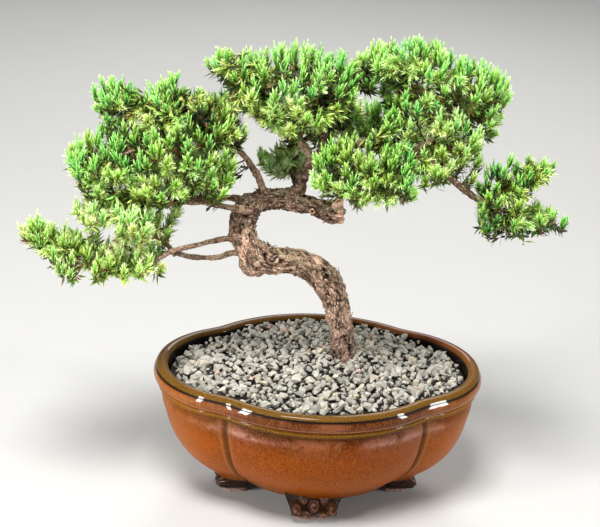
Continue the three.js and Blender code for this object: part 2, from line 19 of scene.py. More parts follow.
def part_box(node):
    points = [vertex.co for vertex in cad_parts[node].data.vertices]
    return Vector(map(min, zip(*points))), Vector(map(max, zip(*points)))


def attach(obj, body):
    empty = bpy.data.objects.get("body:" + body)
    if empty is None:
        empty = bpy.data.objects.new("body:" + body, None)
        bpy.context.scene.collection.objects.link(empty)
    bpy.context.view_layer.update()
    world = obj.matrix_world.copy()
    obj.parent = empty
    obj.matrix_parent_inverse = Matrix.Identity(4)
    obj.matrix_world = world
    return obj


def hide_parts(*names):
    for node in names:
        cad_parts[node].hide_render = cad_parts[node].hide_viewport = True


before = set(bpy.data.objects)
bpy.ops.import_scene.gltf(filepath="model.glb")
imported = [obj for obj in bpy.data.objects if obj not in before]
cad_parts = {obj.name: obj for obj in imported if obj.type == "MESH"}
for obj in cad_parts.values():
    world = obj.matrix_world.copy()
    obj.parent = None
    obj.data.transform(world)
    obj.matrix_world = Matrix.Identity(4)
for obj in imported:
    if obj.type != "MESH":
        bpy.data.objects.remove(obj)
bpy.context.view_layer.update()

print("solid pieces:", len(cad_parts))

# %% [markdown]
# Every size below is in millimetres from the middle of the pot, on the table top, with X along the
# pot and Y away from the viewer. Only the last step turns millimetres into the frame's metres.

# %% Measure the pot
MM = 0.001
pot_low, pot_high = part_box("pot")
POT_MIDDLE = np.array([(pot_low.x + pot_high.x) / 2, (pot_low.y + pot_high.y) / 2, 0.0])
POT_HALF_WIDTH = (pot_high.x - pot_low.x) / 2 / MM
POT_HALF_DEPTH = (pot_high.y - pot_low.y) / 2 / MM


def to_metres(points):
    """Millimetres from the middle of the pot, scaled and moved to the frame's own origin."""
    return np.asarray(points, float) * MM + POT_MIDDLE


print("pot half width and depth, mm:", round(POT_HALF_WIDTH, 1), round(POT_HALF_DEPTH, 1))

# %% [markdown]
# The portrait is taken from in front and a little above, with a long lens, so that the rim shows
# as a flat oval. A camera looks along its own -Z, so its axes are right, up and backward.

# %% Set up the camera
EYE = (-133.7, -1059.1, 606.5)
LOOKS_DOWN = radians(22.253)
TURNS_RIGHT = radians(6.274)
LEANS = radians(3.362)
LENS_MM = 102.0
SENSOR_MM = 36.0


def camera_axes(down, turn, lean):
    """Right, up and forward: forward is +Y turned to the right and tipped down, level is square to it
    and flat, and the roll mixes level and upright."""
    forward = np.array([sin(turn) * cos(down), cos(turn) * cos(down), -sin(down)])
    level = np.array([cos(turn), -sin(turn), 0.0])
    upright = np.cross(level, forward)
    return cos(lean) * level + sin(lean) * upright, cos(lean) * upright - sin(lean) * level, forward


right, up, forward = camera_axes(LOOKS_DOWN, TURNS_RIGHT, LEANS)
camera = bpy.data.objects.new("camera", bpy.data.cameras.new("camera"))
camera.data.lens = LENS_MM
camera.data.sensor_width = SENSOR_MM
turned = Matrix(np.column_stack([right, up, -forward]).tolist()).to_4x4()
camera.matrix_world = Matrix.Translation(Vector(to_metres(EYE))) @ turned
bpy.context.scene.collection.objects.link(camera)
bpy.context.scene.camera = camera
print("camera distance, m:", round(float(np.linalg.norm(EYE)) * MM, 2))

# %% [markdown]
# Three small tools do most of the shaping. Smooth noise gives lumps of a chosen size that are the
# same on every run. A smooth line passes through given points. A grid of rings becomes a
# closed skin, with its faces pointing out and a pole at each end.


# %% Noise and lines
def unit(vectors):
    """Vectors divided by their lengths."""
    return vectors / np.maximum(np.linalg.norm(vectors, axis=-1, keepdims=True), 1e-12)


def square_frame(direction):
    """Two directions square to each given direction and to each other."""
    helper = np.where(np.abs(direction[..., 2:3]) < 0.9, [0.0, 0.0, 1.0], [1.0, 0.0, 0.0])
    side = unit(np.cross(helper, direction))
    return side, np.cross(direction, side)


def hashed(cube, seed):
    """A random number from 0 to 1 for each whole-numbered cube, always the same for the same cube."""
    code = cube[..., 0] * 73856093 ^ cube[..., 1] * 19349663 ^ cube[..., 2] * 83492791 ^ seed * 40503
    code = (code ^ (code >> 13)) * 1274126177
    return ((code >> 8) & 0xFFFF) / 65535


def lumps(points, size, seed=0):
    """Smooth random values from -1 to 1. Each point blends the random numbers kept at the eight
    corners of the cube of side `size` that it lies in."""
    cell = np.asarray(points, float) / size
    corner = np.floor(cell).astype(np.int64)
    share = cell - corner
    share = share * share * (3 - 2 * share)
    total = np.zeros(cell.shape[:-1])
    for step in np.ndindex(2, 2, 2):
        number = 2 * hashed(corner + step, seed) - 1
        total += number * np.prod(np.where(step, share, 1 - share), axis=-1)
    return total


def scales(points, size, seed=0):
    """Cracked scales. One spot lies at random in each cube of side `size`, and a point belongs to
    its nearest spot. Gives how much further the second spot is, which is 0 along a crack, then the
    scale's own random number, and the way from its spot."""
    cell = np.asarray(points, float) / size
    cube = np.floor(cell).astype(np.int64)
    nearest = np.full(cell.shape[:-1], 9.0)
    second = nearest.copy()
    number = np.zeros(cell.shape[:-1])
    offset = np.zeros(cell.shape)
    for step in np.ndindex(3, 3, 3):
        at = cube + step - 1
        away = cell - at - np.stack([hashed(at, seed + k) for k in range(3)], axis=-1)
        distance = np.linalg.norm(away, axis=-1)
        closer = distance < nearest
        second = np.where(closer, nearest, np.minimum(second, distance))
        number = np.where(closer, hashed(at, seed + 3), number)
        offset = np.where(closer[..., None], away, offset)
        nearest = np.where(closer, distance, nearest)
    return second - nearest, number, offset


def fade(value, low, high):
    """0 below `low`, 1 above `high`, and an S-shaped rise between them."""
    share = np.clip((value - low) / (high - low), 0, 1)
    return share * share * (3 - 2 * share)


def smooth_line(rows, spacing):
    """Evenly spaced points on a Catmull-Rom curve: between two points it is the cubic whose slope at
    each one runs parallel to the line between that point's neighbours."""
    rows = np.asarray(rows, float)
    padded = np.vstack([2 * rows[0] - rows[1], rows, 2 * rows[-1] - rows[-2]])
    at = np.linspace(0, len(rows) - 1, 12 * len(rows))
    low = np.minimum(at.astype(int), len(rows) - 2)
    t = (at - low)[:, None]
    before, start, end, after = (padded[low + k] for k in range(4))
    dense = start + 0.5 * t * (end - before + t * (
        2 * before - 5 * start + 4 * end - after + t * (3 * (start - end) + after - before)))
    length = np.append(0, np.cumsum(np.linalg.norm(np.diff(dense[:, :3], axis=0), axis=1)))
    even = np.linspace(0, length[-1], max(4, int(round(length[-1] / spacing)) + 1))
    return np.stack([np.interp(even, length, column) for column in dense.T], axis=-1)


# %% Skins and pieces
def ring_quads(rows, columns, first=0):
    """Four-cornered faces between neighbouring rings whose columns close on themselves."""
    low = first + np.arange((rows - 1) * columns).reshape(rows - 1, columns)
    after = np.roll(low, -1, axis=1)
    return np.stack([low, after, after + columns, low + columns], axis=-1).reshape(-1, 4)


def closed_skin(rings, first_pole, last_pole):
    """Points and faces of rings of points, closed at each end by a fan round a pole."""
    rows, columns = rings.shape[:2]
    around = np.arange(columns)
    after = np.roll(around, -1)
    end = (rows - 1) * columns
    pole = np.full(columns, rows * columns)
    fans = np.vstack([
        np.stack([after, around, pole], axis=-1),
        np.stack([around + end, after + end, pole + 1], axis=-1),
    ])
    points = np.vstack([rings.reshape(-1, 3), first_pole, last_pole])
    return points, [ring_quads(rows, columns), fans]


def many_tubes(rings):
    """Points and faces of many small closed tubes at once, from (tube, ring, column) points. The
    rings of three or four columns are closed flat at both ends."""
    count, rows, columns = rings.shape[:3]
    offsets = np.arange(count)[:, None, None] * rows * columns
    sides = (ring_quads(rows, columns)[None] + offsets).reshape(-1, 4)
    first = np.arange(columns)[::-1]
    last = np.arange(columns) + (rows - 1) * columns
    ends = (np.stack([first, last])[None] + offsets).reshape(-1, columns)
    return rings.reshape(-1, 3), [sides, ends]


def make_piece(name, points, faces, measures=None, smooth=True):
    """A mesh object from millimetre points and lists of faces with three or four corners. Each of
    `measures` is kept as one number per point, for the materials to read."""
    mesh = bpy.data.meshes.new(name)
    corners = np.concatenate([np.asarray(part).ravel() for part in faces])
    sizes = np.concatenate([np.full(len(part), part.shape[1]) for part in faces])
    mesh.vertices.add(len(points))
    mesh.vertices.foreach_set("co", to_metres(points).astype(np.float32).ravel())
    mesh.loops.add(len(corners))
    mesh.loops.foreach_set("vertex_index", corners.astype(np.int32))
    mesh.polygons.add(len(sizes))
    mesh.polygons.foreach_set("loop_start", (np.cumsum(sizes) - sizes).astype(np.int32))
    mesh.polygons.foreach_set("use_smooth", np.full(len(sizes), smooth))
    for measure, values in (measures or {}).items():
        attribute = mesh.attributes.new(measure, "FLOAT", "POINT")
        attribute.data.foreach_set("value", np.asarray(values, np.float32).ravel())
    mesh.update(calc_edges=True)
    mesh.validate()
    piece = bpy.data.objects.new(name, mesh)
    bpy.context.scene.collection.objects.link(piece)
    return piece


def put_in_place(piece, finish, slot, *nodes):
    """The finished piece takes its material, moves with the pot and stands for its solid nodes."""
    if finish is not None:
        piece.data.materials.append(finish)
    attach(piece, "root")
    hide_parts(*nodes)
    triangles = sum(len(face.vertices) - 2 for face in piece.data.polygons)
    made.append(triangles)
    print(piece.name, "triangles:", triangles)


made = []

# %% [markdown]
# A finish is a small tree of nodes. These helpers add a node with its settings and inputs on one
# line, and colours are given as a painter would read them off a screen, then made linear.


# %% Node helpers
def tone(code):
    """A #rrggbb screen colour as the linear colour that Blender works in."""
    shares = np.array([int(code[k:k + 2], 16) for k in (1, 3, 5)]) / 255
    linear = np.where(shares > 0.04045, ((shares + 0.055) / 1.055) ** 2.4, shares / 12.92)
    return (*linear.tolist(), 1.0)


def add_node(tree, kind, settings=None, **inputs):
    """A node with its settings. An input is a plain value, or another node's output to link."""
    node = tree.nodes.new("ShaderNode" + kind)
    for key, value in (settings or {}).items():
        setattr(node, key, value)
    for key, value in inputs.items():
        socket = node.inputs[key.replace("_", " ")]
        if isinstance(value, bpy.types.NodeSocket):
            tree.links.new(value, socket)
        else:
            socket.default_value = value
    return node


def blend(tree, share, low, high):
    """The colour that goes from `low` to `high` as `share` goes from 0 to 1."""
    node = tree.nodes.new("ShaderNodeMix")
    node.data_type = "RGBA"
    for socket, value in zip((node.inputs[0], node.inputs[6], node.inputs[7]), (share, low, high)):
        if isinstance(value, bpy.types.NodeSocket):
            tree.links.new(value, socket)
        else:
            socket.default_value = tone(value) if isinstance(value, str) else value
    return node.outputs[2]


def reckon(tree, operation, *values):
    """One step of arithmetic, kept between 0 and 1."""
    node = tree.nodes.new("ShaderNodeMath")
    node.operation = operation
    node.use_clamp = True
    for socket, value in zip(node.inputs, values):
        if isinstance(value, bpy.types.NodeSocket):
            tree.links.new(value, socket)
        else:
            socket.default_value = value
    return node.outputs[0]


def ramp(tree, share, *stops):
    """A colour that runs through (position, colour) stops as `share` rises."""
    node = add_node(tree, "ValToRGB", Fac=share)
    elements = node.color_ramp.elements
    while len(elements) < len(stops):
        elements.new(0.5)
    for element, (position, colour) in zip(elements, stops):
        element.position = position
        element.color = tone(colour)
    return node.outputs[0]


def wash(tree, under, over, *shares):
    """One colour laid over another, as strongly as the product of the shares."""
    share = shares[0]
    for more in shares[1:]:
        share = reckon(tree, "MULTIPLY", share, more)
    return blend(tree, share, under, over)


def rising(tree, value, low, high):
    """0 where the value is `low`, 1 where it is `high`, and in proportion between them."""
    return add_node(tree, "MapRange", Value=value, From_Min=low, From_Max=high).outputs[0]


def measured(tree, name):
    """The number that a piece keeps at each point under this name."""
    return add_node(tree, "Attribute", {"attribute_name": name}).outputs["Fac"]


def new_finish(name, **constants):
    """An empty material: its node tree, its Principled shader and the piece's own coordinates."""
    finish = bpy.data.materials.new(name)
    finish.use_nodes = True
    tree = finish.node_tree
    shader = tree.nodes["Principled BSDF"]
    for key, value in constants.items():
        shader.inputs[key.replace("_", " ")].default_value = value
    place = add_node(tree, "TexCoord").outputs["Object"]
    return finish, tree, shader, place


def bump(tree, shader, height, depth_mm, strength=1.0):
    """Small relief that only the light sees: `height` from 0 to 1 stands for `depth_mm`."""
    node = add_node(tree, "Bump", Height=height, Distance=depth_mm * MM, Strength=strength)
    tree.links.new(node.outputs[0], shader.inputs["Normal"])


# %% [markdown]
# Glaze, stone, bark and leaves all share two effects: soft patches in two sizes, and small separate
# specks. Each is a node group that is built once, and every material places it with its own scale.


# %% Shared effects
def new_effect(name, inputs, output):
    """A node group with a Vector and number inputs, and one number output."""
    group = bpy.data.node_groups.new(name, "ShaderNodeTree")
    group.interface.new_socket("Vector", in_out="INPUT", socket_type="NodeSocketVector")
    for label, value in inputs:
        socket = group.interface.new_socket(label, in_out="INPUT", socket_type="NodeSocketFloat")
        socket.default_value = value
    group.interface.new_socket(output, in_out="OUTPUT", socket_type="NodeSocketFloat")
    start = group.nodes.new("NodeGroupInput")
    end = group.nodes.new("NodeGroupOutput")
    return group, start.outputs, end.inputs[0]


def make_patches():
    """Large noise and noise six times finer, added, then stretched about the middle by Contrast."""
    group, given, result = new_effect("patches", [("Scale", 100.0), ("Contrast", 2.0)], "Share")
    finer = add_node(group, "Math", {"operation": "MULTIPLY"})
    group.links.new(given["Scale"], finer.inputs[0])
    finer.inputs[1].default_value = 6.0
    large = add_node(group, "TexNoise", Vector=given["Vector"], Scale=given["Scale"], Detail=2.0)
    small = add_node(group, "TexNoise", Vector=given["Vector"], Scale=finer.outputs[0], Detail=2.0)
    both = add_node(group, "Mix", Factor=0.38)
    group.links.new(large.outputs[0], both.inputs[2])
    group.links.new(small.outputs[0], both.inputs[3])
    centred = add_node(group, "Math", {"operation": "SUBTRACT"})
    group.links.new(both.outputs[0], centred.inputs[0])
    centred.inputs[1].default_value = 0.5
    stretched = add_node(group, "Math", {"operation": "MULTIPLY_ADD", "use_clamp": True})
    group.links.new(centred.outputs[0], stretched.inputs[0])
    group.links.new(given["Contrast"], stretched.inputs[1])
    stretched.inputs[2].default_value = 0.5
    group.links.new(stretched.outputs[0], result)
    return group


def make_specks():
    """Round specks: 1 where the nearest of many random points is closer than Size, else 0."""
    group, given, result = new_effect("specks", [("Scale", 800.0), ("Size", 0.3)], "Mask")
    cells = add_node(group, "TexVoronoi", Vector=given["Vector"], Scale=given["Scale"])
    near = add_node(group, "Math", {"operation": "SUBTRACT"})
    group.links.new(given["Size"], near.inputs[0])
    group.links.new(cells.outputs["Distance"], near.inputs[1])
    sharp = add_node(group, "Math", {"operation": "MULTIPLY", "use_clamp": True})
    group.links.new(near.outputs[0], sharp.inputs[0])
    sharp.inputs[1].default_value = 8.0
    group.links.new(sharp.outputs[0], result)
    return group


PATCHES = make_patches()
SPECKS = make_specks()


def effect(tree, group, vector, **values):
    """One use of a shared effect in a material, with its own values."""
    node = tree.nodes.new("ShaderNodeGroup")
    node.node_tree = group
    tree.links.new(vector, node.inputs["Vector"])
    for key, value in values.items():
        node.inputs[key].default_value = value
    return node.outputs[0]


def stretched_place(tree, place, scale):
    """The piece's coordinates, squeezed by a Mapping node so that a pattern draws out one way."""
    return add_node(tree, "Mapping", Vector=place, Scale=scale).outputs[0]


print("shared effects:", PATCHES.name, SPECKS.name)

# %% [markdown]
# The pot is thrown or pressed as a four-lobed bowl. From above, its outline is four arcs: wide ones
# at the front and back, and tight ones at the ends, which meet in four notches. Any point of the
# outline is the further of two circles along its ray. The two are blended softly at the rim and
# meet in a sharp crease on the belly, as they do under the glaze.

# %% Outline of the pot
NOTCH_X, NOTCH_Y = 70.0, 59.5
POT_COLUMNS = 320
CROWDING = 0.55
CREASE_DEPTH = 1.1
BODY_SHIFT = 2.5
BODY_TOP, BODY_FOOT = 84.0, 14.0


def lobe_arc(reach, along, across):
    """Centre and radius of the circle through a lobe's tip at `reach` and through the notch."""
    centre = (reach**2 - along**2 - across**2) / (2 * (reach - along))
    return centre, reach - centre


END_ARC = lobe_arc(POT_HALF_WIDTH, NOTCH_X, NOTCH_Y)
FRONT_ARC = lobe_arc(POT_HALF_DEPTH, NOTCH_Y, NOTCH_X)


def crease_angle(inset):
    """Angle at which the two circles cross once both are drawn in. Subtracting one circle's equation
    from the other's leaves a straight line, and the line meets the front circle there."""
    end, front = END_ARC[0], FRONT_ARC[0]
    end_radius, front_radius = END_ARC[1] - inset, FRONT_ARC[1] - inset
    constant = (end_radius**2 - front_radius**2 - end**2 + front**2) / 2
    slope, offset = front / end, -constant / end
    a = slope**2 + 1
    b = 2 * (slope * offset - front)
    c = offset**2 + front**2 - front_radius**2
    y = (-b + np.sqrt(b * b - 4 * a * c)) / (2 * a)
    return np.arctan2(y, slope * y + offset)


def arc_reach(arc, toward, inset):
    """Distance along a ray to a circle on an axis; `toward` is the ray's share along that axis."""
    centre, radius = arc
    square = (centre * toward) ** 2 - centre**2 + (radius - inset) ** 2
    return np.where(square > 0, centre * toward + np.sqrt(np.maximum(square, 0)), 0)


def pot_rings(profile):
    """Rings of the outline for rows of (inset, height, softness). A quarter of the columns lies
    between each two creases, so that a column always runs down each crease. Softness is how far
    from the crease, in millimetres, the two arcs are blended. Also gives the nearness to a crease."""
    inset, height, softness = (column[:, None] for column in np.asarray(profile, float).T)
    notch = crease_angle(inset)
    quarter = POT_COLUMNS // 4
    share = np.arange(quarter)[None, :] / quarter
    share = share - CROWDING * np.sin(2 * pi * share) / (2 * pi)
    angles = np.hstack([
        -notch + 2 * notch * share,
        notch + (pi - 2 * notch) * share,
        pi - notch + 2 * notch * share,
        pi + notch + (pi - 2 * notch) * share,
    ])
    end = arc_reach(END_ARC, np.abs(np.cos(angles)), inset)
    front = arc_reach(FRONT_ARC, np.abs(np.sin(angles)), inset)
    gap = np.abs(end - front)
    overlap = np.maximum(softness - gap, 0) / softness
    sharp = 1 - fade(softness, 1.5, 4.0)
    radius = np.maximum(end, front) + overlap**2 * softness / 4
    radius = radius - CREASE_DEPTH * sharp * np.exp(-((gap / 0.7) ** 2))
    shift = BODY_SHIFT * np.clip((BODY_TOP - height) / (BODY_TOP - BODY_FOOT), 0, 1)
    rings = np.stack([
        radius * np.cos(angles) + shift,
        radius * np.sin(angles),
        np.broadcast_to(height, angles.shape),
    ], axis=-1)
    return rings, np.exp(-((gap / 1.8) ** 2))


print("crease angle at the rim, degrees:", round(float(np.degrees(crease_angle(0.0))), 1))

# %% [markdown]
# The profile says how far in from the outline the clay lies at each height. It climbs the belly,
# dips into a groove, swells into a bead, stands up as the collar, rolls over the rim and goes down
# the inside. Each stretch is one smooth line, and more rings are spent where it bends tightly.

# %% Throw the pot
RIM_SOFTNESS, CREASE_SOFTNESS = 5.0, 1.0
BELLY = [
    (42, 14), (40.5, 14.3), (35, 20), (25.5, 28), (17, 38.5), (11, 51), (7, 65), (5.6, 71.5),
    (6, 75.5), (7, 78.2),
]
COLLAR = [
    (7, 78.2), (6.8, 79.2), (4.4, 79.9), (3.1, 81.2), (2.7, 82.8), (3.2, 84.1), (3.7, 84.9),
    (3, 85.7), (1.2, 86.4), (0.3, 87.6), (0, 89.4), (0.3, 91.4), (1.1, 93.3), (1.7, 94.2),
]
RIM = [(1.7, 94.2), (2.1, 95.2), (3.2, 96.2), (5.6, 96.9), (8, 96.3), (9.7, 94.9), (10.3, 92)]
INSIDE = [(10.3, 92), (11.2, 85), (12.2, 78), (15, 60), (20, 46), (27, 34), (40, 22)]
LUMP_SIZE, LUMP_HEIGHT = 21, 0.22
SHEEN_LEVEL, SHEEN_SPREAD, SHEEN_SAG = 74.2, 2.1, 40
UNDERSIDE, FLOOR_INSIDE = [0, 0, 14], [0, 0, 22]


def pot_profile():
    """The four stretches end to end, with the softness of the notch at each height."""
    stretches = [(BELLY, 2.9), (COLLAR, 0.62), (RIM, 0.95), (INSIDE, 8.0)]
    lines = []
    for rows, spacing in stretches:
        flat = [(inset, height, 0) for inset, height in rows]
        lines.append(smooth_line(flat, spacing)[:, :2])
    joined = np.vstack([lines[0]] + [line[1:] for line in lines[1:]])
    counts = np.cumsum([len(lines[0])] + [len(line) - 1 for line in lines[1:]])
    outside = np.arange(len(joined)) < counts[1]
    softness = CREASE_SOFTNESS + (RIM_SOFTNESS - CREASE_SOFTNESS) * fade(joined[:, 1], 77, 86)
    softness[~outside] = RIM_SOFTNESS
    return np.column_stack([joined, softness]), counts


def throw_pot():
    """The bowl as one closed skin, from the middle of its underside to the middle of its floor. It
    keeps four numbers for the glaze: the side of the clay (0 outside, 0.5 on the rim, 1 inside), the
    nearness to a crease, the ends of the bowl below the rim, which take a painted glow of brighter
    orange, and a painted sheen under the collar, a pale reflection whose strength is a bell curve of
    the height that sags a little towards the ends."""
    profile, counts = pot_profile()
    rings, crease = pot_rings(profile)
    middle = rings.mean(axis=1, keepdims=True)
    uneven = LUMP_HEIGHT * lumps(rings, LUMP_SIZE, 3)
    rings = rings + unit((rings - middle) * [1, 1, 0]) * uneven[..., None]
    collar_end, rim_end = counts[1], counts[2]
    turns = [collar_end - 2, collar_end, rim_end - 4.4, rim_end - 2.4]
    side = np.interp(np.arange(len(profile)), turns, [0, 0.5, 0.55, 1])
    points, faces = closed_skin(rings, UNDERSIDE, FLOOR_INSIDE)
    spread = np.broadcast_to(side[:, None], crease.shape)
    below = np.broadcast_to(fade(profile[:, 1], 81.5, 79.5)[:, None], crease.shape)
    along = np.abs(rings[..., 0])
    # Towards both ends the bowl takes a brighter orange: a painted glow of reflected light.
    ends = fade(along, 50, 118) * fade(profile[:, 1], 93.4, 92.4)[:, None]
    # A painted sheen: a pale reflection in a band under the collar.
    level = (rings[..., 2] - SHEEN_LEVEL + along / SHEEN_SAG) / SHEEN_SPREAD
    painted_sheen = np.exp(-(level**2)) * fade(along, 14, 44) * fade(along, 112, 66)
    return make_piece("pot_bowl", points, faces, {
        "pot_side": np.append(spread.ravel(), [0, 1]),
        "crease": np.append((crease * below).ravel(), [0, 0]),
        "ends": np.append(ends.ravel(), [0, 0]),
        "painted_sheen": np.append(painted_sheen.ravel(), [0, 0]),
    })


pot_bowl = throw_pot()

# %% [markdown]
# Two drainage holes go through the floor. A hole is easiest to cut as a potter does, after the bowl
# is made: a Boolean modifier takes away a cylinder, and is then applied.

# %% Drill the drainage holes
DRAIN_X, DRAIN_RADIUS, DRAIN_DEPTH = 34.0, 8.0, 30.0
POT_FOOT_HEIGHT = 14.0


def drill(piece, x):
    """Takes an upright cylinder of 48 sides out of the piece."""
    form = bmesh.new()
    bmesh.ops.create_cone(form, cap_ends=True, segments=48, radius1=DRAIN_RADIUS * MM,
                          radius2=DRAIN_RADIUS * MM, depth=DRAIN_DEPTH * MM)
    mesh = bpy.data.meshes.new("drill")
    form.to_mesh(mesh)
    form.free()
    mesh.transform(Matrix.Translation(Vector(to_metres([x, 0, POT_FOOT_HEIGHT]))))
    tool = bpy.data.objects.new("drill", mesh)
    bpy.context.scene.collection.objects.link(tool)
    cut = piece.modifiers.new("drain", "BOOLEAN")
    cut.operation = "DIFFERENCE"
    cut.object = tool
    finished = bpy.data.meshes.new_from_object(piece.evaluated_get(bpy.context.evaluated_depsgraph_get()))
    piece.modifiers.clear()
    piece.data = finished
    bpy.data.objects.remove(tool)


for side in (-1, 1):
    drill(pot_bowl, side * DRAIN_X)
print("measures kept by the bowl:", [a.name for a in pot_bowl.data.attributes if a.domain == "POINT"])

# %% [markdown]
# The glaze is a transparent amber over an iron-red body. It is thin and orange on the belly, dark in
# the crease and in the groove, olive where it lies thick on the rim, and breaks to a pinkish cream
# along edges. Some of this is painted light: the dark line in each crease is partly painted shade,
# the pink lines by the creases and on the collar's lower edge are partly painted highlights, the pale
# sheen under the collar is a painted reflection, the brighter orange at the ends is a painted glow,
# and the nearly black inside is partly painted shade. Fine streaks run down it. The clear coat gives
# the wet shine, and the colour lies in the base under it. Heights are shares of 0.1 m, so 0.84 is
# the bead at 84 mm.


# %% Glaze
def glaze_finish():
    """Bands of colour by height, mottled by fine streaks, with the creases and the rim laid over.
    At the back right, the olive of the rim turns rusty."""
    finish, tree, shader, place = new_finish(
        "amber_glaze", Roughness=0.45, Specular_IOR_Level=0.05, Coat_Roughness=0.04, Coat_IOR=1.3)
    along = add_node(tree, "SeparateXYZ", Vector=place).outputs
    height = along["Z"]
    level = rising(tree, height, 0.0, 0.1)
    streaks = effect(tree, PATCHES, stretched_place(tree, place, (1, 1, 0.5)), Scale=1150.0, Contrast=3.4)
    clouds = effect(tree, PATCHES, place, Scale=38.0, Contrast=5.5)
    flecks = effect(tree, SPECKS, place, Scale=1150.0, Size=0.36)
    # At 0.868 both ramps turn salmon pink along the collar's lower edge: the glaze thins there, and the line
    # is partly a painted highlight.
    deep = ramp(tree, level, (0.14, "#4e1d00"), (0.3, "#692a00"), (0.6, "#5c2000"), (0.74, "#3d1302"),
                (0.785, "#280e04"), (0.804, "#241604"), (0.82, "#38220a"), (0.832, "#60400f"),
                (0.842, "#3c1e05"), (0.857, "#341204"), (0.868, "#7a3820"), (0.88, "#381403"),
                (0.92, "#331202"), (0.931, "#1c0b04"), (0.936, "#080504"))
    light = ramp(tree, level, (0.14, "#8c4401"), (0.3, "#a75302"), (0.6, "#984702"), (0.74, "#702e06"),
                 (0.785, "#4c2107"), (0.804, "#402a0a"), (0.82, "#5a3a0e"), (0.832, "#966c22"),
                 (0.842, "#6c3f0c"), (0.857, "#5a2806"), (0.868, "#c07a5a"), (0.88, "#5a2605"),
                 (0.92, "#502105"), (0.931, "#30160a"), (0.936, "#0c0807"))
    body = blend(tree, streaks, deep, light)
    pools = effect(tree, PATCHES, place, Scale=21.0, Contrast=5.0)
    olive = ramp(tree, level, (0.2, "#000000"), (0.5, "#707070"), (0.92, "#909090"), (0.935, "#000000"))
    body = wash(tree, body, "#57380a", pools, olive)
    rosy = ramp(tree, level, (0.55, "#000000"), (0.7, "#808080"), (0.76, "#c8c8c8"), (0.79, "#303030"),
                (0.86, "#484848"), (0.88, "#909090"), (0.925, "#909090"), (0.935, "#000000"))
    patchy = reckon(tree, "SUBTRACT", clouds, 0.25)
    body = wash(tree, body, "#a5654a", patchy, rosy)
    below_rim = ramp(tree, level, (0.92, "#b0b0b0"), (0.932, "#000000"))
    body = wash(tree, body, "#b87220", flecks, below_rim)
    clouded = reckon(tree, "ADD", clouds, 0.3)
    streaked = reckon(tree, "ADD", streaks, 0.3)
    # A pale pinkish sheen under the collar, painted as a reflection.
    body = wash(tree, body, "#a3776a", measured(tree, "painted_sheen"), clouded, streaked)
    # A brighter orange at both ends of the bowl: a painted glow of reflected light.
    body = wash(tree, body, "#bd6c18", measured(tree, "ends"), 0.3)
    crease = measured(tree, "crease")
    # By each crease: olive glaze, a pink line that is a painted highlight, and a dark line in the crease
    # that is partly glaze lying thick and partly painted shade.
    body = wash(tree, body, "#6e4a10", ramp(tree, crease, (0.0, "#000000"), (0.12, "#909090")))
    crease_highlight = ramp(tree, crease, (0.1, "#000000"), (0.35, "#a0a0a0"), (0.6, "#000000"))
    body = wash(tree, body, "#b06a48", crease_highlight)
    body = wash(tree, body, "#32240f", ramp(tree, crease, (0.55, "#000000"), (0.95, "#c8c8c8")))
    side = measured(tree, "pot_side")
    rim = blend(tree, streaks, "#3f2a08", "#6c4a15")
    behind = rising(tree, along["Y"], -0.02, 0.04)
    right_end = rising(tree, along["X"], 0.02, 0.1)
    rim = wash(tree, rim, "#6a3012", behind, right_end, 0.75)
    body = wash(tree, body, rim, ramp(tree, side, (0.2, "#000000"), (0.45, "#ffffff")))
    # Inside the bowl the glaze turns nearly black: partly a dark glaze, partly painted shade on the inner
    # wall.
    body = wash(tree, body, "#14100d", ramp(tree, side, (0.55, "#000000"), (0.9, "#ffffff")))
    body = wash(tree, body, "#6b3a28", reckon(tree, "LESS_THAN", height, 0.0152))
    tree.links.new(body, shader.inputs["Base Color"])
    coat = ramp(tree, level, (0.14, "#000000"), (0.16, "#7b7b7b"), (0.78, "#808080"), (0.8, "#707070"),
                (0.85, "#707070"), (0.88, "#e6e6e6"), (0.944, "#e6e6e6"), (0.962, "#b0b0b0"))
    tree.links.new(coat, shader.inputs["Coat Weight"])
    bump(tree, shader, streaks, 0.03, 0.4)
    return finish


put_in_place(pot_bowl, glaze_finish(), "pot_glaze", "pot")

# %% [markdown]
# Each lobe stands on a foot carved as cloud scrolls. A foot is drawn as an outline seen from the
# front: a narrow pad, a curl on each side and a wide top that is sunk in the bowl. The same outline,
# shrunk towards its middle, gives the rings of both faces, and the carving is a height laid on them.

# %% Feet
FOOT_MIDDLE = 8.5
FOOT_THICKNESS = 18.0
FOOT_EDGE = 1.6
FOOT_COLUMNS, FACE_RINGS = 112, 27
FOOT_TURNS = [(0, -1, 53.0, -3.5), (0, 1, 53.0, 0.0), (1, 0, 67.5, 2.5), (-1, 0, 67.5, 2.5)]
FOOT_OUTLINE = [
    [(-10.5, 0), (10.5, 0)], [(10.5, 0), (11, 2.6), (12.5, 4)], [(12.5, 4), (17, 5.5), (15.5, 9.5)],
    [(15.5, 9.5), (18, 12), (20.5, 20.5)], [(20.5, 20.5), (-20.5, 20.5)],
    [(-20.5, 20.5), (-18, 12), (-15.5, 9.5)], [(-15.5, 9.5), (-17, 5.5), (-12.5, 4)],
    [(-12.5, 4), (-11, 2.6), (-10.5, 0)],
]
SCROLLS = [(-5.8, 5.9, 4.7, 1), (5.8, 5.9, 4.7, -1), (-12.4, 10.6, 4.0, -1), (12.4, 10.6, 4.0, 1),
           (0, 12.4, 4.0, 1), (-7.0, 15.4, 3.2, 1), (7.0, 15.4, 3.2, -1)]
SCROLL_DEPTH, SCROLL_LEVEL = 2.6, 0.62
FOOT_SWELL, SWELL_HEIGHT, SWELL_SPREAD = 7.0, 7.5, 3.9


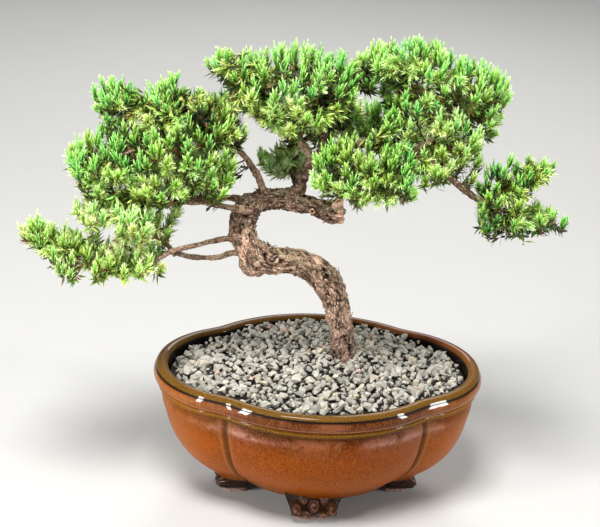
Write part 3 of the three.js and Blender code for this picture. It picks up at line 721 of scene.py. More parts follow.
def foot_reach(angles):
    """Distance from the middle of a foot to its outline at each angle. Straight stretches and
    quadratic curves are drawn as points, which are then looked up by their angle."""
    t = np.linspace(0, 1, 24)[:, None]
    drawn = []
    for stretch in np.array([row if len(row) == 3 else [row[0], np.mean(row, axis=0), row[1]]
                             for row in FOOT_OUTLINE], dtype=float):
        drawn.append((1 - t) ** 2 * stretch[0] + 2 * t * (1 - t) * stretch[1] + t**2 * stretch[2])
    drawn = np.vstack(drawn) - [0, FOOT_MIDDLE]
    bearing = np.arctan2(drawn[:, 1], drawn[:, 0])
    order = np.argsort(bearing)
    return np.interp(angles, bearing[order], np.linalg.norm(drawn, axis=1)[order], period=2 * pi)


def scroll_height(x, z):
    """Carving from 0 to 1. Each scroll is a dome, and a spiral is cut into it: the cosine of the
    distance in turns plus the angle. Where scrolls overlap, the later one lies on top."""
    height = np.full(x.shape, 0.08)
    for centre_x, centre_z, size, way in SCROLLS[::-1]:
        across, along = x - centre_x, z - centre_z
        distance = np.hypot(across, along)
        dome = np.sqrt(np.maximum(1 - (distance / (1.12 * size)) ** 2, 0)) * 0.5 + 0.3
        cut = 0.5 + 0.5 * np.cos(2 * pi * distance / (0.72 * size) - way * np.arctan2(along, across))
        inside = 1 - fade(distance, 0.88 * size, 1.04 * size)
        height = height * (1 - inside) + (dome + 0.22 * cut) * inside
    return height


def make_feet():
    """Rings of each foot: front face from its middle out, rounded edge, side and back face. The face
    bulges forward in a bell curve of the height, and the scrolls are carved into it."""
    angles = 2 * pi * np.arange(FOOT_COLUMNS) / FOOT_COLUMNS
    reach = foot_reach(angles)
    face = np.linspace(0.05, 1, FACE_RINGS)
    turn = np.linspace(0, pi / 2, 4)[1:]
    share = np.concatenate([face, np.ones(9), [1, 0.6, 0.2]])
    depth = np.concatenate([
        np.zeros(FACE_RINGS), FOOT_EDGE * (1 - np.cos(turn)),
        np.array([5, 9, 13]), FOOT_THICKNESS - FOOT_EDGE * np.cos(turn), np.full(3, FOOT_THICKNESS),
    ])
    inset = FOOT_EDGE * np.concatenate([
        np.ones(FACE_RINGS), 1 - np.sin(turn), np.zeros(3), 1 - np.cos(turn), np.ones(3)])
    radius = (reach[None, :] - inset[:, None]) * share[:, None]
    x = radius * np.cos(angles)
    z = radius * np.sin(angles) + FOOT_MIDDLE
    carved = scroll_height(x, z)
    front = (np.arange(len(share)) < FACE_RINGS + 2)[:, None] * fade(reach - radius, -0.6, 1.2)
    swell = FOOT_SWELL * (np.exp(-((z - SWELL_HEIGHT) / SWELL_SPREAD) ** 2) - 0.5)
    swell = swell * (1 - depth / FOOT_THICKNESS)[:, None]
    depth_in = depth[:, None] + SCROLL_DEPTH * (SCROLL_LEVEL - carved) * front - swell
    z = np.maximum(z, 0)
    points, parts, worn = [], [], []
    for outward_x, outward_y, place, shift in FOOT_TURNS:
        out = place - depth_in
        across = np.array([-outward_y, outward_x, 0.0])
        rings = x[..., None] * across + out[..., None] * np.array([outward_x, outward_y, 0.0])
        rings = rings + np.stack([np.full_like(z, shift), np.zeros_like(z), z], axis=-1)
        outward = np.array([outward_x, outward_y, 0.0])
        first = rings[0].mean(axis=0)
        last = np.array([shift, 0, FOOT_MIDDLE]) + outward * (place - FOOT_THICKNESS)
        skin, faces = closed_skin(rings, first, last)
        start = sum(len(part) for part in points)
        points.append(skin)
        parts += [face[:, ::-1] + start for face in faces]
        worn.append(np.append((carved * front + (1 - front) * 0.45).ravel(), [0.5, 0.5]))
    return make_piece("pot_feet", np.vstack(points), parts, {"carving": np.concatenate(worn)})


pot_feet = make_feet()


def foot_finish():
    """Nearly black red glaze in the hollows, brown-red on the curls, and worn cream along the ridges
    and round the edge that it stands on. The black of the hollows is partly painted shade, and the
    cream of the ridges partly a painted highlight."""
    finish, tree, shader, place = new_finish(
        "foot_glaze", Roughness=0.45, Specular_IOR_Level=0.1, Coat_Weight=0.6, Coat_Roughness=0.08,
        Coat_IOR=1.3)
    carving = measured(tree, "carving")
    mottle = effect(tree, PATCHES, place, Scale=420.0, Contrast=3.4)
    # Hollows come out nearly black and ridges pale: glaze pooling and breaking, partly painted shade and
    # partly a painted highlight.
    hollow = ramp(tree, carving, (0.1, "#1c0f09"), (0.4, "#1a0d08"), (0.6, "#2a140d"), (0.8, "#402015"),
                  (0.9, "#5a382a"), (1.0, "#8e6654"))
    tinted = wash(tree, hollow, "#1c0c08", mottle, 0.45)
    amber = effect(tree, PATCHES, place, Scale=150.0, Contrast=7.0)
    tinted = wash(tree, tinted, "#4a2f10", amber, 0.3)
    height = add_node(tree, "SeparateXYZ", Vector=place).outputs["Z"]
    low = rising(tree, height, 0.0034, 0.0022)
    worn = wash(tree, tinted, "#c79e8c", low, reckon(tree, "ADD", mottle, 0.25))
    tree.links.new(worn, shader.inputs["Base Color"])
    bump(tree, shader, mottle, 0.15, 0.5)
    return finish


put_in_place(pot_feet, foot_finish(), "pot_glaze", "pot")

# %% [markdown]
# The gravel is crushed grey stone, from sand-sized chips to pieces as long as a fingernail. A crushed
# stone has flat faces and sharp corners, so each one is the convex hull of a few random points. A
# handful of such stones, turned and stretched at random, is enough for thousands of places.

# %% Lay of the gravel
TRUNK_X, TRUNK_Y = 17.0, 3.0
GRAVEL_RIDGE, GRAVEL_RISE, GRAVEL_SPREAD = 97.0, 6.0, 42.0
GRAVEL_END_DROP, GRAVEL_END_X = 5.5, 100.0
WALL_INSET = 11.6
TRUNK_CLEARANCE = 8.5
EDGE_SINK = 1.6
BED_DEPTH = 4.2
STONE_KINDS, STONE_POINTS = 18, 12
STONE_LAYERS = [(5.35, 0.98, 0.5), (5.1, 0.85, -3.5)]


def gravel_height(x, y):
    """Level at the front and back, mounded round the trunk, and falling towards both ends."""
    away = np.hypot(x - TRUNK_X, y - TRUNK_Y) / GRAVEL_SPREAD
    return GRAVEL_RIDGE + GRAVEL_RISE * np.exp(-away**2) - GRAVEL_END_DROP * (x / GRAVEL_END_X) ** 2


def wall_distance(x, y):
    """How far inside the pot's wall a place is: the smaller share of the two arcs at its angle."""
    angle = np.arctan2(y, x)
    end = arc_reach(END_ARC, np.abs(np.cos(angle)), WALL_INSET)
    front = arc_reach(FRONT_ARC, np.abs(np.sin(angle)), WALL_INSET)
    return np.maximum(end, front) - np.hypot(x, y)


def stone_kinds(rng):
    """Convex hulls of a dozen random points on a lumpy ball, each as its points and its triangles."""
    kinds = []
    for _ in range(STONE_KINDS):
        form = bmesh.new()
        ball = unit(rng.normal(size=(STONE_POINTS, 3)))
        for point in ball * rng.uniform(0.8, 1.05, (STONE_POINTS, 1)):
            form.verts.new(point)
        hull = bmesh.ops.convex_hull(form, input=form.verts)
        bmesh.ops.delete(form, geom=hull["geom_interior"], context="VERTS")
        bmesh.ops.recalc_face_normals(form, faces=form.faces)
        bmesh.ops.triangulate(form, faces=form.faces)
        form.verts.index_update()
        kinds.append((np.array([v.co for v in form.verts]),
                      np.array([[v.index for v in face.verts] for face in form.faces])))
        form.free()
    return kinds


def random_turns(rng, count, tilt):
    """Rotation matrices: a random heading, then a random small tilt about both level axes."""
    heading = rng.uniform(0, 2 * pi, count)
    roll = rng.normal(0, tilt, count)
    pitch = rng.normal(0, tilt, count)
    zero, one = np.zeros(count), np.ones(count)
    about_z = np.array([[np.cos(heading), -np.sin(heading), zero],
                        [np.sin(heading), np.cos(heading), zero],
                        [zero, zero, one]])
    about_x = np.array([[one, zero, zero],
                        [zero, np.cos(roll), -np.sin(roll)],
                        [zero, np.sin(roll), np.cos(roll)]])
    about_y = np.array([[np.cos(pitch), zero, np.sin(pitch)],
                        [zero, one, zero],
                        [-np.sin(pitch), zero, np.cos(pitch)]])
    return np.einsum("ijn,jkn,kln->nil", about_x, about_y, about_z)


def stone_places(rng):
    """Centres and half sizes of all stones: each layer is a jittered hexagonal grid inside the wall,
    clear of the trunk, and the lower layer fills the gaps of the upper one. The stones beside the
    wall lie a little lower."""
    centres, sizes = [], []
    for pitch, grow, lift in STONE_LAYERS:
        rows = np.arange(-90, 90, pitch * 0.87)
        x, y = np.meshgrid(np.arange(-118, 118, pitch), rows)
        x = x + pitch / 2 * (np.arange(len(rows)) % 2)[:, None]
        x = (x + rng.uniform(-0.34, 0.34, x.shape) * pitch).ravel()
        y = (y + rng.uniform(-0.34, 0.34, y.shape) * pitch).ravel()
        size = np.clip(rng.lognormal(1.08, 0.3, x.shape), 1.6, 5.6) * grow
        keep = (wall_distance(x, y) > size * 0.55) & (np.hypot(x - TRUNK_X, y - TRUNK_Y) > TRUNK_CLEARANCE)
        x, y, size = x[keep], y[keep], size[keep]
        z = gravel_height(x, y) + lift - 0.5 * size + rng.normal(0, 0.55, x.shape)
        z = z - EDGE_SINK * (1 - fade(wall_distance(x, y), 1.5, 4.5))
        centres.append(np.column_stack([x, y, z]))
        sizes.append(size)
    return np.vstack(centres), np.concatenate(sizes)


def lay_gravel():
    """All stones as one mesh, over a closed bed that hides the soil between them. The bed is near
    black, as painted shade in the gaps between the stones.
    """
    rng = np.random.default_rng(11)
    kinds = stone_kinds(rng)
    centres, sizes = stone_places(rng)
    kind = rng.integers(0, STONE_KINDS, len(sizes))
    shape = sizes[:, None] * rng.uniform([0.85, 0.7, 0.55], [1.3, 1.0, 0.85], (len(sizes), 3))
    turns = random_turns(rng, len(sizes), 0.5)
    stone_tone = rng.uniform(0, 1, len(sizes))
    points, faces, tones, start = [], [], [], 0
    for k, (corners, triangles) in enumerate(kinds):
        chosen = np.flatnonzero(kind == k)
        local = corners[None] * shape[chosen][:, None]
        placed = np.einsum("nij,npj->npi", turns[chosen], local) + centres[chosen][:, None]
        points.append(placed.reshape(-1, 3))
        offsets = start + np.arange(len(chosen))[:, None, None] * len(corners)
        faces.append((triangles[None] + offsets).reshape(-1, 3))
        tones.append(np.repeat(stone_tone[chosen], len(corners)))
        start += len(chosen) * len(corners)
    bed, bed_faces = gravel_bed()
    points.append(bed)
    faces += [part + start for part in bed_faces]
    tones.append(np.full(len(bed), -1.0))
    print("stones:", len(sizes))
    tones = {"stone": np.concatenate(tones)}
    return make_piece("gravel_stones", np.vstack(points), faces, tones, smooth=False)


def gravel_bed():
    """A closed slab under the stones, whose rings follow the pot's outline at falling shares."""
    share = np.array([1, 1, 0.85, 0.7, 0.52, 0.34, 0.16])
    outline, _ = pot_rings([(WALL_INSET, 90, RIM_SOFTNESS)])
    outline = outline[0, ::4]
    rings = outline[None] * share[:, None, None]
    rings[..., 2] = gravel_height(rings[..., 0], rings[..., 1]) - BED_DEPTH
    rings[0, :, 2] = 79.5
    rings[0, :, :2] *= 0.985
    return closed_skin(rings, [0, 0, 88.5], [0, 0, gravel_height(0, 0) - BED_DEPTH])


def stone_finish():
    """Grey stones of their own lightness, some cream, peach or greenish, with dark grains."""
    finish, tree, shader, place = new_finish("crushed_stone", Roughness=0.85, Specular_IOR_Level=0.3)
    stone = measured(tree, "stone")
    grain = effect(tree, PATCHES, place, Scale=700.0, Contrast=2.4)
    specks = effect(tree, SPECKS, place, Scale=1500.0, Size=0.3)
    pale = ramp(tree, stone, (0.0, "#908d83"), (0.2, "#b3afa3"), (0.4, "#9c998e"), (0.55, "#cac6b9"),
                (0.7, "#a7a398"), (0.85, "#bdb9ac"), (0.94, "#c4bca8"), (0.96, "#c9bea3"),
                (0.975, "#a5a991"), (0.99, "#bda391"))
    dark = ramp(tree, stone, (0.0, "#5f5c55"), (0.3, "#817d74"), (0.6, "#6f6c64"), (0.9, "#89857b"),
                (0.96, "#938a74"), (0.99, "#917868"))
    body = blend(tree, grain, dark, pale)
    body = wash(tree, body, "#6c6b66", specks, 0.3)
    # The bed under the stones is near black: painted shade in the gaps between them.
    body = wash(tree, body, "#14110e", reckon(tree, "LESS_THAN", stone, -0.5))
    tree.links.new(body, shader.inputs["Base Color"])
    bump(tree, shader, grain, 0.12, 0.5)
    return finish


put_in_place(lay_gravel(), stone_finish(), "gravel", "gravel_top_dressing")

# %% [markdown]
# The soil, the plastic drain screens and the bent wire clips keep their solid shapes, since these
# are right as they are, and only take a finish: crumbly brown, dull black and drawn aluminium.


# %% Soil, screens and clips
def plain_finish(name, slot_nodes, low, high, scale, depth_mm, **constants):
    """Two tones in patches with a matching relief, put on solid nodes that stay as they are."""
    finish, tree, shader, place = new_finish(name, **constants)
    share = effect(tree, PATCHES, place, Scale=scale, Contrast=2.5)
    tree.links.new(blend(tree, share, low, high), shader.inputs["Base Color"])
    bump(tree, shader, share, depth_mm, 0.8)
    for node in slot_nodes:
        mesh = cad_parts[node].data
        mesh.materials.clear()
        mesh.materials.append(finish)
    print(name, "on", ", ".join(slot_nodes))


plain_finish("potting_soil", ["soil"], "#241a12", "#4f3a28", 450.0, 0.8, Roughness=1.0)
plain_finish("screen_plastic", ["drain_screen_left", "drain_screen_right"],
             "#151716", "#262927", 900.0, 0.05, Roughness=0.6)
plain_finish("clip_aluminium", ["screen_clip_left", "screen_clip_right"],
             "#8f8b86", "#b9b4ad", 1200.0, 0.03, Roughness=0.35, Metallic=1.0)

# %% [markdown]
# The trunk climbs out of the gravel, leans left, doubles back round a crook and ends in an old cut.
# Its line is drawn through points of [x, y, z, radius], as are the branches. Rings square to the
# line make the limb, and the bark is a height that moves each point in or out: long ropes of old
# bark, plates that end in steps, and fine cracks.

# %% Lines of the wood
TRUNK_LINE = [
    [19, 4, 72, 7], [18, 4, 86, 10], [17, 3, 103, 9.3], [14, 2, 123, 9], [9, 0, 140, 10],
    [3.5, -3, 155, 10.6], [-5.5, -5, 166.5, 10.4], [-19, -8, 174, 9.6], [-30, -10, 176, 8.9],
    [-40, -11, 176.5, 9.8], [-49, -9, 179.5, 10.3], [-55, -6, 187, 9.4], [-57.5, -2, 196, 9.4],
    [-55, 3, 206, 9.5], [-46, 6, 213, 8.7], [-35, 6, 214.5, 8.1], [-24, 5, 214, 8], [-13, 3, 211.5, 7.2],
    [-4, 1, 209, 7.6], [3, -1, 208.4, 8.7], [6.5, -1.6, 208, 8.6],
]
SWELLINGS = [[-50, -9, 173.5, 10, 9.5, 10], [-55, 4, 211, 8, 8, 8]]
BRANCH_LINES = {
    "branch_right_main": [
        [-25, 4, 215, 5], [-21, 2, 224, 4.4], [-19, 0, 233, 4], [-16, -2, 241, 3.7], [-13, -5, 248, 3.5],
        [-4, -9, 256, 3.1], [11, -14, 261, 2.9], [31, -20, 262, 2.7], [49, -24, 259, 2.5],
        [65, -27, 251, 2.4], [82, -28, 238, 2.2], [94, -28, 230, 2], [110, -27, 223, 1.7],
        [128, -24, 216, 1.4],
    ],
    "branch_crown_left": [
        [-14, -5, 248, 2.6], [-20, -5, 256, 2.6], [-25, -4, 262, 2.5], [-34, 0, 272, 2.3],
        [-46, 3, 284, 2], [-60, 3, 295, 1.6], [-70, 2, 302, 1.3],
    ],
    "branch_crown_middle": [[-6, -8, 255, 2.3], [-6, -5, 265, 2.2], [-7, 1, 279, 2], [-11, 4, 293, 1.6]],
    "branch_crown_right": [[32, -20, 262, 2.3], [35, -12, 272, 2.2], [38, -3, 286, 2], [41, 3, 302, 1.6]],
    "branch_right_upper": [
        [49, -24, 259, 2.2], [57, -22, 264, 2.1], [65, -19, 269, 2], [73, -13, 277, 2], [79, -7, 287, 1.7],
        [87, -2, 297, 1.4],
    ],
    "branch_rising_left": [
        [-42, 4, 216, 3], [-45, 4, 223, 2.6], [-49, 1, 233, 2.4], [-54, -3, 241, 2.2], [-59, -7, 249, 2.1],
        [-68, -10, 258, 2], [-81, -10, 268, 1.9], [-96, -8, 276, 1.7], [-114, -4, 281, 1.5],
        [-133, 2, 282, 1.2],
    ],
    "branch_high_left_rear": [
        [-53, 5, 213, 2.6], [-61, 7, 214, 2.3], [-69, 9, 213.5, 2.1], [-82, 13, 212, 1.9],
        [-96, 17, 210.5, 1.9], [-109, 20, 211, 1.7], [-126, 18, 217, 1.5], [-143, 10, 228, 1.3],
    ],
    "branch_high_left_front": [
        [-56, -4, 210, 2.6], [-62, -8, 212, 2.2], [-68, -12, 214.5, 2], [-81, -17, 219, 1.9],
        [-91, -21, 221, 1.8], [-105, -24, 221, 1.6], [-120, -23, 217, 1.5], [-136, -20, 214, 1.3],
    ],
    "branch_low_left_upper": [
        [-58, -4, 190, 2.3], [-69, -9, 191, 1.9], [-79, -14, 191, 1.7], [-89, -19, 190, 1.7],
        [-99, -23, 189, 1.7], [-106, -24, 187, 1.7], [-112, -24, 183, 1.6], [-120, -24, 179, 1.5],
        [-131, -24, 177, 1.4], [-147, -20, 179, 1.3], [-166, -15, 184, 1.1],
    ],
    "branch_low_left_lower": [
        [-57, -7, 181, 2.3], [-66, -8, 180, 1.9], [-74, -10, 178, 1.8], [-84, -12, 178.5, 1.7],
        [-95, -13, 180, 1.7], [-104, -13, 184, 1.7], [-110, -12, 190, 1.5], [-119, -11, 197, 1.4],
        [-128, -12, 204, 1.3],
    ],
    "branch_front": [
        [4, -3, 211, 3.1], [5, -6, 218, 3], [7, -13, 227, 2.8], [14, -25, 240, 2.4], [25, -33, 247, 2],
        [38, -37, 250, 1.7],
    ],
    "branch_rear": [
        [-18, 7, 214, 3.4], [-21, 15, 222, 2.8], [-24, 24, 231, 2.5], [-24, 32, 241, 2.1],
        [-16, 38, 253, 1.8], [-4, 41, 261, 1.5],
    ],
    "branch_rear_right": [
        [-23, 33, 242, 2.1], [-8, 39, 249, 2], [14, 42, 254, 1.9], [38, 39, 258, 1.7], [60, 34, 263, 1.5],
        [80, 30, 269, 1.3],
    ],
    "branch_rear_left": [
        [-90, 15, 211, 2], [-92, 18, 221, 1.8], [-95, 21, 233, 1.6], [-104, 22, 243, 1.4],
        [-118, 19, 246, 1.2],
    ],
}
SIDE_TWIGS = {
    "branch_right_main": [
        [[108, -27, 224, 1.3], [113, -25, 231, 1.2], [122, -23, 238, 1.1], [133, -21, 246, 0.9],
         [141, -20, 252, 0.7]],
        [[108, -27, 224, 1.3], [113, -26, 215, 1.1], [123, -24, 209, 1], [136, -22, 211, 0.9],
         [147, -21, 218, 0.7]],
    ],
    "branch_rising_left": [
        [[-96, -8, 276, 1.4], [-107, -14, 269, 1.3], [-119, -16, 261, 1.1], [-133, -14, 252, 1],
         [-147, -10, 245, 0.8], [-160, -6, 243, 0.7]],
    ],
    "branch_low_left_lower": [
        [[-104, -13, 183, 1.3], [-114, -16, 198, 1.1], [-126, -18, 211, 1], [-140, -18, 218, 0.8],
         [-153, -16, 218, 0.7]],
    ],
    "branch_crown_middle": [
        [[-6, -5, 265, 1.6], [2, 0, 271, 1.3], [9, 5, 284, 1.1], [15, 8, 296, 0.9], [21, 8, 304, 0.7]],
    ],
    "branch_rear": [[[-24, 24, 231, 1.5], [-19, 28, 239, 1.1], [-9, 30, 243, 0.8]]],
}
print("limbs:", 1 + len(BRANCH_LINES), "side twigs:", sum(map(len, SIDE_TWIGS.values())))


# %% Limbs and bark
BARK_STRETCH = 2.3


def limb_rings(line, sides):
    """Ring centres, outward directions and lengths along a limb. The level direction square to both
    the limb and the Y axis starts each ring, so that rings never twist. At both ends a few more
    rings draw in to a blunt dome."""
    centre, radius = line[:, :3], line[:, 3]
    along = unit(np.gradient(centre, axis=0))
    draw_in = np.linspace(0, pi / 2, 9)[1:-1]
    dome = 0.35 * np.sin(draw_in)[:, None]
    start = centre[0] - along[0] * radius[0] * dome[::-1]
    end = centre[-1] + along[-1] * radius[-1] * dome
    narrow = np.cos(draw_in) ** 0.5
    centre = np.vstack([start, centre, end])
    radius = np.concatenate([radius[0] * narrow[::-1], radius, radius[-1] * narrow])
    along = np.vstack([np.repeat(along[:1], 7, axis=0), along, np.repeat(along[-1:], 7, axis=0)])
    across = unit(np.cross([0.0, 1.0, 0.0], along))
    behind = np.cross(along, across)
    angle = 2 * pi * np.arange(sides) / sides
    to_side, to_back = np.cos(angle)[None, :, None], np.sin(angle)[None, :, None]
    outward = to_side * across[:, None] + to_back * behind[:, None]
    length = np.append(0, np.cumsum(np.linalg.norm(np.diff(centre, axis=0), axis=1)))
    return centre, radius, along, outward, length


def bark_height(around, length, size, seed):
    """Relief from about -1 to 1 on a limb unrolled as [around, along]. Scales a little over twice as
    long as they are wide lie at their own heights and tilt, with deep cracks between them, and carry
    a second set of scales less than half their size. Also gives each scale's own number."""
    flat = np.stack([around[..., 0], around[..., 1], length / BARK_STRETCH], axis=-1)
    flat = flat + 0.75 * size * np.stack([lumps(flat, 1.3 * size, seed + k) for k in range(3)], axis=-1)
    gap, number, offset = scales(flat, size, seed + 10)
    heading = 40 * number
    tilt = offset[..., 2] * np.cos(heading) + (offset[..., 0] + offset[..., 1]) * np.sin(heading)
    small_gap, small_number, _ = scales(flat, 0.42 * size, seed + 20)
    broken = fade(lumps(flat, 1.8 * size, seed + 31), -0.45, 0.25)
    height = 0.8 * (number - 0.5) + 0.6 * tilt - 1.1 * broken * (1 - fade(gap, 0.0, 0.24))
    fine = 0.5 * (small_number - 0.5) - 0.35 * (1 - fade(small_gap, 0, 0.2))
    height += fine + 0.3 * lumps(flat, 0.4 * size, seed)
    return height, 0.55 * number + 0.45 * small_number


def ellipsoid_reach(centre, outward, lobe):
    """How far a ray from inside or near an ellipsoid goes before it leaves it; 0 if it misses."""
    scale = np.asarray(lobe[3:], float)
    start = (centre - np.asarray(lobe[:3], float)) / scale
    way = outward / scale
    a = (way**2).sum(-1)
    b = (start * way).sum(-1)
    square = b * b - a * ((start**2).sum(-1) - 1)
    return np.where(square > 0, (np.sqrt(np.maximum(square, 0)) - b) / a, 0)


# %% [markdown]
# The trunk has its own history. A twig was cut off and left a hollow stub, an old wound closed in a
# ring, a branch tore away at the end, and one nub of wood is bare. Here and there a scale has fallen
# and shows paler bark, and lichen sits on the bends. Each mark is a place on the skin, in
# [x, y, z] and then a size, that moves the skin and tints it.

# %% Trunk
TRUNK_COLUMNS, TRUNK_SPACING, TRUNK_GIRTH = 108, 0.75, 9.5
BARK_SINK = 0.75
FLAKE_POINTS = 12
KNOT, SCAR, NUB = [-11.4, -5.2, 210.2], [-37.8, -18.4, 180.9], [6.8, -3.8, 217.2]
KNOT_RADIUS, KNOT_DEPTH = 1.6, 1.8
NUB_RADIUS, NUB_HEIGHT, BARE_RADIUS = 3.3, 5.6, 3.8
SCAR_RADIUS, SCAR_LINE, SCAR_RINGS = 5.2, 0.8, (3.4, 1.9, 5.1)
PIT_SPACING, PIT_RADIUS, PIT_DEPTH = 7.5, 1.7, 2.2
PALE_SPOTS = [
    (-6.4, -10.6, 177.6, 2.9, 0.95), (-16.7, -16, 172, 2.2, 0.6), (1.7, -13, 147.4, 3.4, 0.35),
    (-54.9, -9.8, 197.1, 2.6, 0.55), (-55.6, -13.0, 192.0, 3.2, 0.8), (-57.2, -15.0, 186.4, 3.1, 0.6),
    (-57.8, -15.4, 180.4, 2.8, 0.5), (7.2, -6.8, 203.9, 2.9, 0.9), (8.1, -8.1, 207.9, 2.3, 0.8),
    (7.2, -8.5, 211.6, 1.8, 0.5), (15.2, -6.4, 142.4, 3.4, 0.45), (16.6, -5.6, 135.9, 3.6, 0.55),
    (17.5, -6.0, 130.1, 3.2, 0.45),
]
LICHEN_SPOTS = [(13.0, -6.0, 157.0, 4.5), (10.5, -6.0, 163.5, 4.0), (-27, -15.5, 184, 4.0)]


def near(skin, place, size, power=4):
    """1 at a place on the skin and 0 far from it: exp of minus (distance / size) to a power."""
    return np.exp(-((np.linalg.norm(skin - place, axis=-1) / size) ** power))


def grow_trunk():
    """The trunk with its swellings, bark, pits, knot, ring scar, nub and torn end. Gives its rings and
    their directions, its closed skin, the stub on its knot and the four numbers for the finish."""
    line = smooth_line(TRUNK_LINE, TRUNK_SPACING)
    centre, radius, along, outward, length = limb_rings(line, TRUNK_COLUMNS)
    middle = centre[:, None]
    skin = np.broadcast_to(radius[:, None], outward.shape[:2])
    for lobe in SWELLINGS:
        reach = ellipsoid_reach(middle, outward, lobe)
        skin = np.maximum(skin, reach) + np.maximum(2.5 - np.abs(skin - reach), 0) ** 2 / 10 * (reach > 0)
    angle = 2 * pi * np.arange(TRUNK_COLUMNS) / TRUNK_COLUMNS
    around = np.stack([np.cos(angle), np.sin(angle)], axis=-1) * TRUNK_GIRTH
    around = np.broadcast_to(around[None], (*outward.shape[:2], 2))
    reach_along = np.broadcast_to(length[:, None], outward.shape[:2])
    height, number = bark_height(around, reach_along, 3.1, 5)
    rest = middle + outward * skin[..., None]
    swell = 1.0 * lumps(rest, 11, 9) + 1.0 * lumps(rest, 5.5, 10) + 0.45 * lumps(rest, 2.2, 12)
    torn = fade(reach_along, length[-1] - 11, length[-1] - 2)
    _, pit_number, pit_offset = scales(rest, PIT_SPACING, 60)
    from_pit = np.linalg.norm(pit_offset, axis=-1) * PIT_SPACING
    pit = np.exp(-((from_pit / PIT_RADIUS) ** 2)) * (pit_number > 0.45)
    height = height * (1 - 0.7 * near(rest, SCAR, SCAR_RADIUS))
    from_scar = np.linalg.norm(rest - SCAR, axis=-1)
    lip, groove, moat = (np.exp(-(((from_scar - ring) / SCAR_LINE) ** 2)) for ring in SCAR_RINGS)
    move = 0.95 * height + swell * (1 + 0.8 * torn) - PIT_DEPTH * pit - BARK_SINK
    move += 1.2 * lip - 0.9 * groove - 0.8 * moat
    move -= KNOT_DEPTH * near(rest, KNOT, KNOT_RADIUS, 2)
    move += NUB_HEIGHT * near(rest, NUB, NUB_RADIUS, 2)
    rings = rest + outward * move[..., None]
    rings = rings + along[:, None] * (torn * lumps(rest, 2.6, 21) * 2.6)[..., None]
    points, faces = closed_skin(rings, centre[0] - along[0], centre[-1] + along[-1] * 0.8)
    hole, bare = near(rest, KNOT, KNOT_RADIUS), near(rest, NUB, BARE_RADIUS)
    # Low relief is coloured dark by the finish, so the knot's hole, the pits and the scar's grooves get
    # painted shade as well as carving.
    relief = 0.66 + 0.4 * np.clip(height, -1.4, 1) - 0.9 * hole - 0.7 * pit + 0.5 * bare
    relief = relief - 0.25 * groove - 0.2 * moat
    fresh = 1.1 * bare + 0.75 * torn * fade(lumps(rest, 2.4, 4), -0.2, 0.3) + 0.28 * lip
    fresh = fresh + 0.25 * near(rest, SCAR, 1.2, 2)
    for *place, size, strength in PALE_SPOTS:
        spot = strength * near(rest, place, size)
        fresh = fresh + spot
        relief = relief + 0.4 * spot
    lichen = outward[..., 2]
    for *place, size in LICHEN_SPOTS:
        lichen = lichen + 0.9 * near(rest, place, size)
    from_knot = np.linalg.norm(rest - KNOT, axis=-1)
    nearest = np.unravel_index(np.argmin(from_knot), from_knot.shape)
    stub = hollow_stub(rest[nearest], outward[nearest])
    return rings, outward, along, (points, faces), stub, (relief, lichen, fresh, number)


STUB_COLUMNS = 18
STUB_PROFILE = [(2.3, -1.4), (2.25, -0.2), (2.1, 0.5), (1.75, 0.95), (1.35, 1.0), (1.0, 0.7),
                (0.85, 0.1), (0.8, -0.8)]


def hollow_stub(place, way):
    """The stub of a cut twig with its pith gone: a profile of (radius, height) turned round `way`."""
    side, front = square_frame(way)
    angle = 2 * pi * np.arange(STUB_COLUMNS) / STUB_COLUMNS
    radius, height = np.array(STUB_PROFILE).T[:, :, None]
    radius = radius * (1 + 0.07 * np.cos(3 * angle + 1) + 0.05 * np.cos(5 * angle))
    to_side, to_front = (radius * np.cos(angle))[..., None], (radius * np.sin(angle))[..., None]
    rings = place + to_side * side + to_front * front + (height + 0 * angle)[..., None] * way
    return closed_skin(rings, place - way * 1.4, place - way * 0.9)


def shed_flakes(rng, rings, outward, along, count, length_range, lift):
    """Flakes of loose bark: thin slabs of three stations that start under the surface, run roughly
    along the limb, lift towards their free end and curl back."""
    row = rng.integers(40, len(rings) - 8, count)
    column = rng.integers(0, rings.shape[1], count)
    root, out, way = rings[row, column], outward[row, column], along[row]
    way = way * rng.choice([-1.0, 1.0], count)[:, None]
    side = unit(np.cross(out, way))
    way = unit(way + side * rng.normal(0, 0.7, count)[:, None])
    side = unit(np.cross(out, way))
    long = rng.uniform(*length_range, count)[:, None, None]
    wide = (rng.uniform(0.7, 2.0, count))[:, None, None]
    rise = (lift * rng.uniform(0.1, 1.3, count))[:, None, None]
    t = np.linspace(0, 1, 3)[None, :, None]
    lifted = out[:, None] * rise * (1.4 * t - 0.5 * t**2)
    middle = root[:, None] - out[:, None] * 0.5 + way[:, None] * long * t + lifted
    half = side[:, None] * wide * (1 - 0.55 * t**2) / 2
    thick = out[:, None] * (0.22 - 0.1 * t)
    corners = np.stack([middle - half - thick, middle + half - thick, middle + half + thick,
                        middle - half + thick], axis=2)
    points, faces = many_tubes(corners)
    return points, [part[:, ::-1] for part in faces]


def join_parts(parts):
    """Several (points, faces) pairs as one, with the corner numbers moved up."""
    start, points, faces = 0, [], []
    for some_points, some_faces in parts:
        points.append(some_points)
        faces += [face + start for face in some_faces]
        start += len(some_points)
    return np.vstack(points), faces


